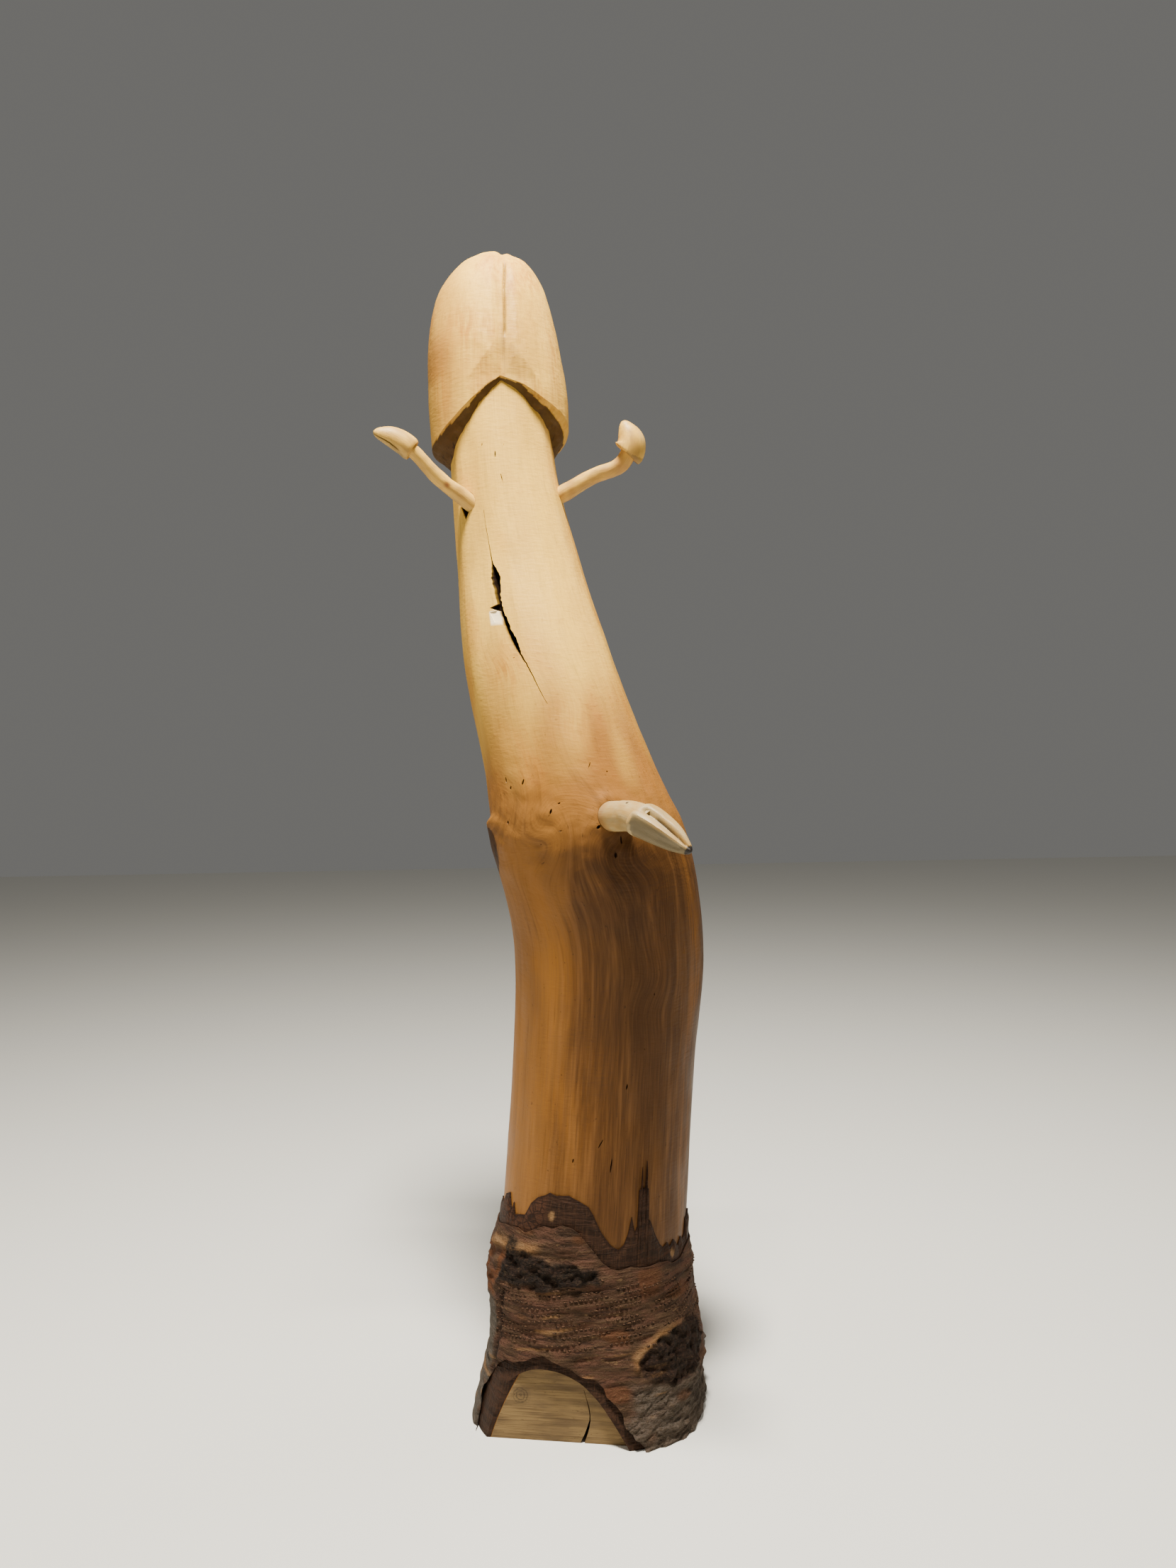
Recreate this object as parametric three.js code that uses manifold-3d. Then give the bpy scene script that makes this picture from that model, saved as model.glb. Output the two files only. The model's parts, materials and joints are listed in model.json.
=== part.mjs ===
// A tall carved log figure. One log stands on its sawn foot, with its bark left on round the
// bottom. It leans and swells at the hip, tapers to a neck and ends in a domed head with an
// overhanging rim. Three short carved arms plug into round sockets: two at the neck, one at the hip.
// Millimetres, +Z up, the front faces -Y, and the origin is on the resting face.

import * as THREE from 'three';
import { mergeVertices } from 'three/addons/utils/BufferGeometryUtils.js';
import Module from 'manifold-3d';

// ---- Driving dimensions -------------------------------------------------------------------

// Heights above the resting face.
const BARK_HEIGHT = 200;
const HIP_HEIGHT = 530;
const NECK_HEIGHT = 900;
const HEAD_LENGTH = 208;

// Widths (sideways) and depths (front to back) of the bare wood.
const FOOT_WIDTH = 202;
const FOOT_DEPTH = 224;
const HIP_WIDTH = 184;
const HIP_DEPTH = 180;
const NECK_WIDTH = 102;
const NECK_DEPTH = 100;
const HEAD_WIDTH = 137;
const HEAD_DEPTH = 120;

// How far the log's centre wanders: sideways and front to back.
const HIP_SIDE = 13;
const HIP_FORWARD = 22;
const NECK_SIDE = -66;
const NECK_BACK = 22;

// The head.
const RIM_HEIGHT_ABOVE_NECK = 65;
const HEAD_BACK_SHIFT = 9;
const GROOVE_DEPTH = 4.5;
const GROOVE_WIDTH = 9;

// The foot: a flat saw cut across the front, and the swelling of a root at the left of it.
const SAW_CUT_DISTANCE = 98;
const SAW_CUT_TURN = 8.7;
const SAW_CUT_LEAN = 2;
const SAW_CUT_WIDTH = 130;
const SAW_CUT_HEIGHT = 66;
const ROOT_SWELL = 9;
const ROOT_ANGLE = -46;
const ROOT_REACH = 32;
const ROOT_HEIGHT = 105;

// The bark, as two layers.
const INNER_BARK_THICKNESS = 2.6;
const OUTER_BARK_THICKNESS = 3.4;
const BURR_SWELL = 4;
const BRANCH_RING_SWELL = 4;
const BARK_CUTBACK = 11;

// The arms' round pegs and the sockets that they fit.
const UPPER_PEG_RADIUS = 8;
const UPPER_PEG_DEPTH = 36;
const LOWER_PEG_RADIUS = 13.5;
const LOWER_PEG_DEPTH = 46;
const SOCKET_CLEARANCE = 0.35;
const SOCKET_BOTTOM_ROOM = 2;

// Room between solids that touch.
const GAP = 0.35;

// Fineness of the meshes.
const COLUMNS = 48;
const ROW_STEP = 25;
const HEAD_ROWS = 11;
const LIMB_SIDES = 18;

// ---- Small helpers ------------------------------------------------------------------------

const wasm = await Module();
wasm.setup();

const degrees = THREE.MathUtils.degToRad;
const lerp = THREE.MathUtils.lerp;

// A value along a list of [place, value...] rows, on a smooth curve through them.
function alongRows(rows, place, column) {
  let next = rows.findIndex((row) => row[0] > place);
  if (next < 0) next = rows.length - 1;
  if (next === 0) next = 1;
  const slope = (k) => {
    const before = rows[Math.max(0, k - 1)];
    const after = rows[Math.min(rows.length - 1, k + 1)];
    return (after[column] - before[column]) / (after[0] - before[0]);
  };
  const [low, high] = [rows[next - 1], rows[next]];
  const span = high[0] - low[0];
  const t = THREE.MathUtils.clamp((place - low[0]) / span, 0, 1);
  const rise = high[column] - low[column];
  const [s0, s1] = [slope(next - 1) * span, slope(next) * span];
  return low[column] + t * (s0 + t * (3 * rise - 2 * s0 - s1 + t * (s0 + s1 - 2 * rise)));
}

// A value round the log from [angle, value] points, joined by straight lines.
function roundLog(points, angle) {
  const turned = ((angle - points[0][0]) % 360 + 360) % 360 + points[0][0];
  const next = points.findIndex((point) => point[0] > turned);
  const high = next < 0 ? [points[0][0] + 360, points[0][1]] : points[next];
  const low = next < 0 ? points[points.length - 1] : points[next - 1];
  return lerp(low[1], high[1], (turned - low[0]) / (high[0] - low[0]));
}

// A rounded hump that is 1 at its middle and fades out over its reach.
const hump = (offset, reach) => Math.exp(-((offset / reach) ** 2));

// The signed angle from one direction round the log to another, in degrees.
const angleBetween = (from, to) => ((to - from + 540) % 360) - 180;

// The corners of a closed skin: loops of points, with the first and last loop filled by a fan.
function skin(loops, capStart, capEnd) {
  const count = loops[0].length;
  const positions = loops.flat().flatMap((p) => [p.x, p.y, p.z]);
  const index = [];
  for (let i = 0; i < loops.length - 1; i += 1) {
    for (let j = 0; j < count; j += 1) {
      const k = (j + 1) % count;
      const [a, b] = [i * count + j, i * count + k];
      index.push(a, b, b + count, a, b + count, a + count);
    }
  }
  const startPole = positions.length / 3;
  positions.push(capStart.x, capStart.y, capStart.z, capEnd.x, capEnd.y, capEnd.z);
  const lastLoop = (loops.length - 1) * count;
  for (let j = 0; j < count; j += 1) {
    const k = (j + 1) % count;
    index.push(startPole, k, j, startPole + 1, lastLoop + j, lastLoop + k);
  }
  return geometryOf(positions, index);
}

// A closed tube wall bent into a ring: one loop of points for each column, joined all round.
function ringWall(columns) {
  const count = columns[0].length;
  const positions = columns.flat().flatMap((p) => [p.x, p.y, p.z]);
  const index = [];
  for (let j = 0; j < columns.length; j += 1) {
    const nextColumn = (j + 1) % columns.length;
    for (let i = 0; i < count; i += 1) {
      const k = (i + 1) % count;
      const [a, b] = [j * count + i, j * count + k];
      const [c, d] = [nextColumn * count + i, nextColumn * count + k];
      index.push(a, d, c, a, b, d);
    }
  }
  return geometryOf(positions, index);
}

function geometryOf(positions, index) {
  const geometry = new THREE.BufferGeometry();
  geometry.setAttribute('position', new THREE.Float32BufferAttribute(positions, 3));
  geometry.setIndex(index);
  return geometry;
}

function solidOf(geometry) {
  geometry.deleteAttribute('normal');
  geometry.deleteAttribute('uv');
  const merged = mergeVertices(geometry, 1e-3);
  return new wasm.Manifold(new wasm.Mesh({
    numProp: 3,
    vertProperties: merged.getAttribute('position').array,
    triVerts: new Uint32Array(merged.getIndex().array),
  }));
}

function geometryFrom(solid) {
  const mesh = solid.getMesh();
  const geometry = new THREE.BufferGeometry();
  geometry.setAttribute('position', new THREE.BufferAttribute(mesh.vertProperties, 3));
  geometry.setIndex(new THREE.BufferAttribute(mesh.triVerts, 1));
  geometry.computeVertexNormals();
  return geometry;
}

// ---- The log's shape ----------------------------------------------------------------------

// Cross-sections of the bare wood: height, centre x, centre y, width, depth, squareness.
// A squareness of 2 is an ellipse, and more fills out the corners.
const LOG_SECTIONS = [
  [0, 3, 0, FOOT_WIDTH, FOOT_DEPTH, 2.7],
  [lerp(0, BARK_HEIGHT, 0.3), 9.5, 0, 188, 194, 2.8],
  [lerp(0, BARK_HEIGHT, 0.6), 7, 0, 180, 181, 2.3],
  [BARK_HEIGHT, 12.5, 0, 177, 176, 2],
  [lerp(BARK_HEIGHT, HIP_HEIGHT, 0.33), 21, 3, 176, 172, 2],
  [lerp(BARK_HEIGHT, HIP_HEIGHT, 0.7), 28, -8, 181, 172, 2],
  [HIP_HEIGHT, HIP_SIDE, -HIP_FORWARD, HIP_WIDTH, HIP_DEPTH, 2],
  [lerp(HIP_HEIGHT, NECK_HEIGHT, 0.2), -6, -20, 162, 164, 2],
  [lerp(HIP_HEIGHT, NECK_HEIGHT, 0.46), -33, -8, 144, 140, 2],
  [lerp(HIP_HEIGHT, NECK_HEIGHT, 0.73), -52, 12, 121, 116, 2],
  [NECK_HEIGHT, NECK_SIDE, NECK_BACK, NECK_WIDTH, NECK_DEPTH, 2],
  [NECK_HEIGHT + HEAD_LENGTH, NECK_SIDE - 8, NECK_BACK + 12, 88, 84, 2],
];

function radiusOf(width, depth, squareness, angle) {
  const across = Math.abs(Math.sin(degrees(angle))) / (width / 2);
  const along = Math.abs(Math.cos(degrees(angle))) / (depth / 2);
  return (across ** squareness + along ** squareness) ** (-1 / squareness);
}

// A point at an angle round an axis: angle 0 is the front, and 90 is towards +X.
function around(x, y, height, angle, radius) {
  return new THREE.Vector3(
    x + radius * Math.sin(degrees(angle)),
    y - radius * Math.cos(degrees(angle)),
    height,
  );
}

// The wood's surface at a height that is one of the rows, moved outwards.
function logRowPoint(angle, height, outwards) {
  const [x, y, width, depth, squareness] = [1, 2, 3, 4, 5].map((column) => (
    alongRows(LOG_SECTIONS, height, column)));
  const root = ROOT_SWELL * hump(angleBetween(ROOT_ANGLE, angle), ROOT_REACH)
    * hump(height, ROOT_HEIGHT);
  const radius = radiusOf(width, depth, squareness, angle) + root;
  return around(x, y, height, angle, radius + outwards);
}

// The wood's surface at any height: straight between the rows, so that every layer of bark
// follows the same facets as the wood under it.
function logPoint(angle, height, outwards = 0) {
  const row = Math.floor(height / ROW_STEP);
  const below = logRowPoint(angle, row * ROW_STEP, outwards);
  const above = logRowPoint(angle, (row + 1) * ROW_STEP, outwards);
  return below.lerp(above, height / ROW_STEP - row);
}

const columnAngles = Array.from({ length: COLUMNS }, (_, j) => (j * 360) / COLUMNS);

function shaftSolid() {
  const top = NECK_HEIGHT + RIM_HEIGHT_ABOVE_NECK + 10;
  const heights = [];
  for (let height = 0; height < top; height += ROW_STEP) heights.push(height);
  heights.push(top);
  const loops = heights.map((height) => columnAngles.map((angle) => logPoint(angle, height)));
  return solidOf(skin(loops, middleOf(loops[0]), middleOf(loops[loops.length - 1])));
}

const middleOf = (loop) => loop.reduce((sum, p) => sum.add(p), new THREE.Vector3())
  .divideScalar(loop.length);

// All that lies in front of the plane of the saw cut.
function sawPlaneBlock() {
  const reach = FOOT_DEPTH;
  const block = new THREE.BoxGeometry(2 * FOOT_WIDTH, reach, 2 * BARK_HEIGHT);
  block.translate(0, -SAW_CUT_DISTANCE - reach / 2, 0);
  block.rotateX(degrees(-SAW_CUT_LEAN));
  block.rotateZ(degrees(-SAW_CUT_TURN));
  return solidOf(block);
}

// An arch through the front of the foot, higher on the left. It is made wider and taller all
// round by a margin.
function archBlock(margin) {
  const half = SAW_CUT_WIDTH / 2 + margin;
  const height = SAW_CUT_HEIGHT + margin;
  const arch = new THREE.Shape();
  arch.moveTo(-half, -margin - 1);
  arch.lineTo(-half, 0);
  arch.bezierCurveTo(-half, 0.5 * height, -0.6 * half, height, -0.2 * half, height);
  arch.bezierCurveTo(0.3 * half, height, 0.6 * half, 0.65 * height, half, 0);
  arch.lineTo(half, -margin - 1);
  const block = new THREE.ExtrudeGeometry(arch, {
    depth: FOOT_DEPTH, bevelEnabled: false, curveSegments: 7,
  });
  block.rotateX(Math.PI / 2);
  block.translate(-0.12 * SAW_CUT_DISTANCE, 0, 0);
  block.rotateZ(degrees(-SAW_CUT_TURN));
  return solidOf(block);
}

// What the saw took away: all in front of its plane, inside the arch.
const sawCutBlock = () => sawPlaneBlock().intersect(archBlock(0));

// ---- The head -----------------------------------------------------------------------------

const CROWN_HEIGHT = NECK_HEIGHT + HEAD_LENGTH;

// Cross-sections of the head, measured up from the neck: height, centre x, width, depth.
const HEAD_SECTIONS = [
  [0, -69, HEAD_WIDTH - 4, HEAD_DEPTH],
  [0.28 * HEAD_LENGTH, -70.5, HEAD_WIDTH, HEAD_DEPTH],
  [0.49 * HEAD_LENGTH, -73.5, HEAD_WIDTH - 5, HEAD_DEPTH - 4],
  [0.69 * HEAD_LENGTH, -75, HEAD_WIDTH - 18, HEAD_DEPTH - 18],
  [0.82 * HEAD_LENGTH, -74.5, HEAD_WIDTH - 36, HEAD_DEPTH - 34],
  [0.93 * HEAD_LENGTH, -72.5, HEAD_WIDTH - 68, HEAD_DEPTH - 62],
  [0.98 * HEAD_LENGTH, -72, HEAD_WIDTH - 100, HEAD_DEPTH - 90],
];

// The rim's lower edge above the neck, round the head from the front: a peak over the front
// that falls away to both sides, further on the left.
const RIM_EDGE = [
  [-180, 6], [-110, 8], [-66, 15], [-40, 32], [-20, 49], [6, 67],
  [28, 60], [45, 50], [78, 36], [120, 18],
];

// How far the underside of the rim drops on its way in to the neck.
const RIM_UNDERCUT = [[-180, 16], [-90, 20], [-45, 13], [6, 5], [45, 14], [90, 22]];

const headCentreY = (up) => NECK_BACK + HEAD_BACK_SHIFT + 0.01 * up;

function headPoint(angle, height) {
  const up = height - NECK_HEIGHT;
  const [x, width, depth] = [1, 2, 3].map((column) => alongRows(HEAD_SECTIONS, up, column));
  const point = around(x, headCentreY(up), height, angle, radiusOf(width, depth, 2.1, angle));
  return pressedByGroove(point);
}

// The groove that runs from the crown down the front to the peak of the rim.
function pressedByGroove(point) {
  const middle = new THREE.Vector3(-72, headCentreY(0) + 4, NECK_HEIGHT + HEAD_LENGTH / 2);
  const inFront = THREE.MathUtils.smoothstep(middle.y + 8 - point.y, 0, 20);
  const grooveX = NECK_SIDE + 4;
  const depth = GROOVE_DEPTH * inFront * hump(point.x - grooveX, GROOVE_WIDTH);
  return point.addScaledVector(middle.sub(point).normalize(), depth);
}

function headSolid() {
  const underside = NECK_HEIGHT + RIM_HEIGHT_ABOVE_NECK / 2;
  const loops = [];
  // From inside the neck, out along the underside to the rim, then up to the crown.
  loops.push(columnAngles.map((angle) => {
    const height = NECK_HEIGHT + roundLog(RIM_EDGE, angle) - roundLog(RIM_UNDERCUT, angle);
    return logPoint(angle, height, -6);
  }));
  for (let row = 0; row <= HEAD_ROWS; row += 1) {
    const share = 0.985 * Math.sin((row / HEAD_ROWS) * (Math.PI / 2));
    loops.push(columnAngles.map((angle) => {
      const rim = NECK_HEIGHT + roundLog(RIM_EDGE, angle);
      return headPoint(angle, lerp(rim, CROWN_HEIGHT, share));
    }));
  }
  const inner = new THREE.Vector3(NECK_SIDE, NECK_BACK, underside);
  const crown = new THREE.Vector3(-72, headCentreY(HEAD_LENGTH), CROWN_HEIGHT);
  return solidOf(skin(loops, inner, crown));
}

// ---- Bark ---------------------------------------------------------------------------------

// The ragged top edges, as [angle, height] round the log from the front.
const INNER_BARK_EDGE = [
  [-180, 0.94], [-150, 1.02], [-125, 0.93], [-100, 0.9], [-77, 0.95], [-62, 1], [-45, 0.98],
  [-37, 1.07], [-18, 1.07], [-6, 1.03], [5, 0.89], [13, 0.84], [21, 0.98], [27, 1.08], [33, 0.92],
  [43, 0.81], [58, 0.77], [73, 0.88], [95, 0.83], [115, 0.92], [140, 0.87], [160, 0.98],
].map(([angle, share]) => [angle, share * BARK_HEIGHT]);

const OUTER_BARK_EDGE = [
  [-180, 0.84], [-130, 0.86], [-77, 0.84], [-50, 0.89], [-38, 0.91], [-28, 0.94], [-18, 0.95],
  [-10, 0.92], [-3, 0.86], [4, 0.79], [13, 0.75], [25, 0.75], [45, 0.74], [58, 0.72],
  [72, 0.75], [100, 0.75], [140, 0.79],
].map(([angle, share]) => [angle, share * BARK_HEIGHT]);

// Swellings of the outer bark: a burr low on the right, and the ring of an old branch
// high on the left.
function barkSwell(angle, height) {
  const burr = BURR_SWELL * hump(angleBetween(42, angle), 22) * hump(height - 70, 34);
  const ring = BRANCH_RING_SWELL * hump(angleBetween(-40, angle), 42) * hump(height - 122, 20);
  return burr + ring;
}

// The log's lower length as a solid, thickened outwards. It has the wood's own facets.
function thickenedFoot(outwards, swell, bottom) {
  const heights = [];
  for (let height = 0; height < 1.3 * BARK_HEIGHT; height += ROW_STEP) heights.push(height);
  const loops = heights.map((height) => columnAngles.map((angle) => (
    logRowPoint(angle, height, outwards + swell(angle, height)))));
  loops.unshift(loops[0].map((p) => new THREE.Vector3(p.x, p.y, bottom)));
  return solidOf(skin(loops, middleOf(loops[0]), middleOf(loops[loops.length - 1])));
}

// A wide ring that stands from below the foot up to a ragged edge.
function raggedRing(edge) {
  const columns = edge.map(([angle, height]) => [
    around(0, 0, -BARK_HEIGHT, angle, 0.2 * FOOT_WIDTH),
    around(0, 0, height, angle, 0.2 * FOOT_WIDTH),
    around(0, 0, height, angle, FOOT_WIDTH),
    around(0, 0, -BARK_HEIGHT, angle, FOOT_WIDTH),
  ]);
  return solidOf(ringWall(columns));
}

// A shell round the log's foot between two distances from the wood, up to a ragged edge.
function barkShell(edge, inner, outer, swell) {
  return thickenedFoot(outer, swell, -GAP)
    .subtract(thickenedFoot(inner, () => 0, -2 * GAP))
    .intersect(raggedRing(edge))
    .subtract(groundBlock());
}

// All that lies below the resting face.
function groundBlock() {
  const block = new THREE.BoxGeometry(4 * FOOT_WIDTH, 4 * FOOT_WIDTH, BARK_HEIGHT);
  block.translate(0, 0, -BARK_HEIGHT / 2);
  return solidOf(block);
}

// ---- The arms -----------------------------------------------------------------------------

// Where each arm's centreline leaves the log and the points that it runs through. The first
// stretch, from the bottom of the peg to the first point, is straight: the peg slides on it.
const LEFT_ARM = {
  root: new THREE.Vector3(NECK_SIDE - 34, NECK_BACK - 43, NECK_HEIGHT - 45),
  reach: [[-25, -13, 18.5], [-46, -24, 40], [-62, -30, 50], [-79.5, -37, 54]],
  pegRadius: UPPER_PEG_RADIUS,
  pegDepth: UPPER_PEG_DEPTH,
  faces: new THREE.Vector3(0, -1, 0.4),
  // Share of the way along the arm, half width, half thickness, and how far the ring is
  // drawn towards the tip on its face.
  rings: [
    [0.1, 7.6, 7.6, 0], [0.25, 6.9, 6.9, 0], [0.45, 6.6, 6.6, 0], [0.6, 6.3, 6.3, 0],
    [0.64, 6.2, 6.2, 2], [0.625, 10.4, 8.8, 2], [0.66, 11, 9.5, 2], [0.76, 11, 9.4, 0],
    [0.87, 9, 7.8, 0], [0.95, 5.8, 5, 0],
  ],
};

const RIGHT_ARM = {
  root: new THREE.Vector3(NECK_SIDE + 55, NECK_BACK - 14, NECK_HEIGHT - 36),
  reach: [[35, -11, 16.3], [56, -18, 22.5], [64, -22, 31], [67.5, -25, 43], [61, -28, 63]],
  pegRadius: UPPER_PEG_RADIUS,
  pegDepth: UPPER_PEG_DEPTH,
  faces: new THREE.Vector3(-1, -0.3, 0.2),
  rings: [
    [0.1, 7.8, 7.8, 0], [0.25, 7.4, 7.4, 0], [0.45, 7.3, 7.3, 0], [0.6, 7.6, 7.6, 0],
    [0.7, 7.5, 7.5, 3], [0.7, 12.5, 14, 3.5], [0.73, 13, 14.8, 3.5], [0.81, 12.2, 13.4, 1],
    [0.9, 9.4, 9.8, 0], [0.96, 5.8, 6, 0],
  ],
};

const LOWER_ARM = {
  root: new THREE.Vector3(HIP_SIDE + 18, -HIP_FORWARD - 85, HIP_HEIGHT + 27),
  reach: [[14.6, -30, 1], [25, -50, -2], [40, -64, -11], [60.5, -81, -27]],
  pegRadius: LOWER_PEG_RADIUS,
  pegDepth: LOWER_PEG_DEPTH,
  faces: new THREE.Vector3(0.1, -0.4, 1),
  rings: [
    [0.1, 13.4, 13.4, 0], [0.3, 13.2, 13.2, 0], [0.44, 13.2, 13, 0], [0.5, 13, 12.6, 3],
    [0.48, 17, 14.8, 4], [0.53, 17.4, 15, 3], [0.68, 15.8, 13.2, 0], [0.83, 11.8, 10, 0],
    [0.94, 6.4, 5.8, 0],
  ],
};

// The direction in which an arm is drawn out of its socket.
const outOf = (arm) => new THREE.Vector3(...arm.reach[0]).normalize();

function armSolid(arm) {
  const out = outOf(arm);
  const pegEnd = arm.root.clone().addScaledVector(out, -arm.pegDepth);
  const bend = new THREE.CatmullRomCurve3([
    arm.root.clone(),
    ...arm.reach.map((step) => arm.root.clone().add(new THREE.Vector3(...step))),
  ], false, 'centripetal');
  const ring = (centre, tangent, halfWidth, halfThickness, drawn) => {
    const across = new THREE.Vector3().crossVectors(arm.faces, tangent).normalize();
    const over = new THREE.Vector3().crossVectors(tangent, across);
    return Array.from({ length: LIMB_SIDES }, (_, k) => {
      const turn = (k * 2 * Math.PI) / LIMB_SIDES;
      return centre.clone()
        .addScaledVector(across, halfWidth * Math.cos(turn))
        .addScaledVector(over, halfThickness * Math.sin(turn))
        .addScaledVector(tangent, drawn * Math.sin(turn));
    });
  };
  const loops = [ring(pegEnd, out, arm.pegRadius, arm.pegRadius, 0)];
  const rootEdge = arm.root.clone().addScaledVector(out, -GAP);
  loops.push(ring(rootEdge, out, arm.pegRadius, arm.pegRadius, 0));
  for (const [share, halfWidth, halfThickness, drawn] of arm.rings) {
    loops.push(ring(bend.getPointAt(share), bend.getTangentAt(share), halfWidth, halfThickness,
      drawn));
  }
  return solidOf(skin(loops, pegEnd, bend.getPointAt(1)));
}

// The round hole that an arm's peg slides in.
function socketBlock(arm) {
  const out = outOf(arm);
  const radius = (arm.pegRadius + SOCKET_CLEARANCE) / Math.cos(Math.PI / LIMB_SIDES);
  const depth = arm.pegDepth + SOCKET_BOTTOM_ROOM;
  const mouth = 3 * arm.pegRadius;
  const block = new THREE.CylinderGeometry(radius, radius, depth + mouth, LIMB_SIDES);
  block.applyQuaternion(new THREE.Quaternion().setFromUnitVectors(
    new THREE.Vector3(0, 1, 0), out));
  const centre = arm.root.clone().addScaledVector(out, (mouth - depth) / 2);
  block.translate(centre.x, centre.y, centre.z);
  return solidOf(block);
}

// ---- Assembly -----------------------------------------------------------------------------

const wood = (colour) => new THREE.MeshStandardMaterial({
  color: colour, roughness: 0.6, metalness: 0,
});

const barkStuff = (colour) => new THREE.MeshStandardMaterial({
  color: colour, roughness: 0.9, metalness: 0,
});

function piece(name, solid, material) {
  const mesh = new THREE.Mesh(geometryFrom(solid), material);
  mesh.name = name;
  return mesh;
}

function carvedLog() {
  let solid = shaftSolid().add(headSolid()).subtract(sawCutBlock());
  for (const arm of [LEFT_ARM, RIGHT_ARM, LOWER_ARM]) solid = solid.subtract(socketBlock(arm));
  return solid;
}

function innerBark() {
  const shell = barkShell(INNER_BARK_EDGE, GAP, GAP + INNER_BARK_THICKNESS, () => 0);
  return shell.subtract(sawCutBlock());
}

function outerBark() {
  const start = 2 * GAP + INNER_BARK_THICKNESS;
  const shell = barkShell(OUTER_BARK_EDGE, start, start + OUTER_BARK_THICKNESS, barkSwell);
  return shell.subtract(archBlock(BARK_CUTBACK));
}

const figure = new THREE.Group();
figure.add(piece('carved_log', carvedLog(), wood(0xcf9f63)));
figure.add(piece('inner_bark', innerBark(), barkStuff(0x6b4030)));
figure.add(piece('outer_bark', outerBark(), barkStuff(0x5a4234)));
figure.add(piece('left_arm', armSolid(LEFT_ARM), wood(0xe2c998)));
figure.add(piece('right_arm', armSolid(RIGHT_ARM), wood(0xe2c998)));
figure.add(piece('lower_arm', armSolid(LOWER_ARM), wood(0xc9b58c)));

export default figure;
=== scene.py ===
"""A tall carved log figure: a leaning peeled log with its bark left on round the foot, a domed
head with an overhanging rim, and three short carved arms that plug into round sockets.

Lengths in the shape tables are in millimetres, angles in degrees round the log: 0 is the front
(-Y) and 90 is towards +X. Meshes are in metres, in the part's own frame.
"""

import itertools
import json
import math

import bmesh
import bpy
import numpy as np
from mathutils import Matrix, Vector
from mathutils.kdtree import KDTree


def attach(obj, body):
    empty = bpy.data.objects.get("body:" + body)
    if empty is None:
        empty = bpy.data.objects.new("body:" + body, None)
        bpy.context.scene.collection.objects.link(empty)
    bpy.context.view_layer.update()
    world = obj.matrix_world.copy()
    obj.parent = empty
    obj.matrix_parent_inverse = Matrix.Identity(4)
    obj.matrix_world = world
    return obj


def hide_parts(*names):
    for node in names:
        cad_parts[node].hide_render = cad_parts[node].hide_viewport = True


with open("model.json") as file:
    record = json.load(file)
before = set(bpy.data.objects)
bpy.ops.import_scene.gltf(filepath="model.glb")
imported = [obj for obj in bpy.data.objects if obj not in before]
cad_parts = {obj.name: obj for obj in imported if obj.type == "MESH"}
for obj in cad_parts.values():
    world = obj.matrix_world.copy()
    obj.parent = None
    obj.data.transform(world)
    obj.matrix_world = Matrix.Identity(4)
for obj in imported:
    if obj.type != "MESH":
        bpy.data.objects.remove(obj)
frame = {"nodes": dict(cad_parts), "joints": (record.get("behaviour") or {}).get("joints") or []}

bl_info = {
    "name": "Carved Log Figure",
    "version": (1, 0, 0),
    "blender": (4, 5, 0),
    "location": "3D View > Sidebar > Log Figure",
    "description": "A carved log with bark round its foot, a domed head and three peg arms",
    "category": "Object",
}

MM = 0.001


def linear(hex_colour):
    """An sRGB hex colour as linear red, green and blue."""
    parts = [int(hex_colour[k : k + 2], 16) / 255 for k in (0, 2, 4)]
    return tuple(p / 12.92 if p <= 0.04045 else ((p + 0.055) / 1.055) ** 2.4 for p in parts)


# ---- What a user may change ---------------------------------------------------------------


def length(name, millimetres, description):
    """A length that a user may change, shown in metres."""
    return bpy.props.FloatProperty(
        name=name, description=description, default=millimetres * MM, min=0.0, unit="LENGTH"
    )


def tint(name, hex_colour, description):
    """A colour that a user may change."""
    return bpy.props.FloatVectorProperty(
        name=name, description=description, default=linear(hex_colour),
        min=0.0, max=1.0, size=3, subtype="COLOR",
    )


class LogFigureSizes(bpy.types.PropertyGroup):
    """Sizes of the carver's marks and of the bark."""

    flat_depth: bpy.props.FloatProperty(
        name="Tool flats", description="How flat the knife left each long facet",
        default=0.55, min=0.0, max=1.0, subtype="FACTOR",
    )
    ripple_height: length("Ripple height", 0.16, "Height of the cross-grain tool ripples")
    groove_depth: length("Groove depth", 4.5, "Depth of the groove down the head's front")
    groove_width: length("Groove width", 9, "Reach of the groove to each side")
    crack_width: length("Crack width", 5.9, "Opening of the crack below the neck")
    crack_depth: length("Crack depth", 17, "How deep that crack runs into the log")
    inner_thickness: length("Inner bark", 2.6, "Thickness of the smooth inner bark")
    outer_thickness: length("Outer bark", 3.4, "Thickness of the rough outer bark")
    bark_relief: length("Bark relief", 1.25, "Height of the bark's ridges and flakes")
    bark_gap: length("Bark gap", 0.35, "Room between the wood and each layer of bark")
    lenticel_length: length("Lenticel length", 3.2, "Length of one corky pore in the bark")
    socket_clearance: length("Socket clearance", 0.35, "Room round each arm's peg")
    peg_room: length("Socket bottom room", 2, "Room below each arm's peg")


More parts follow.
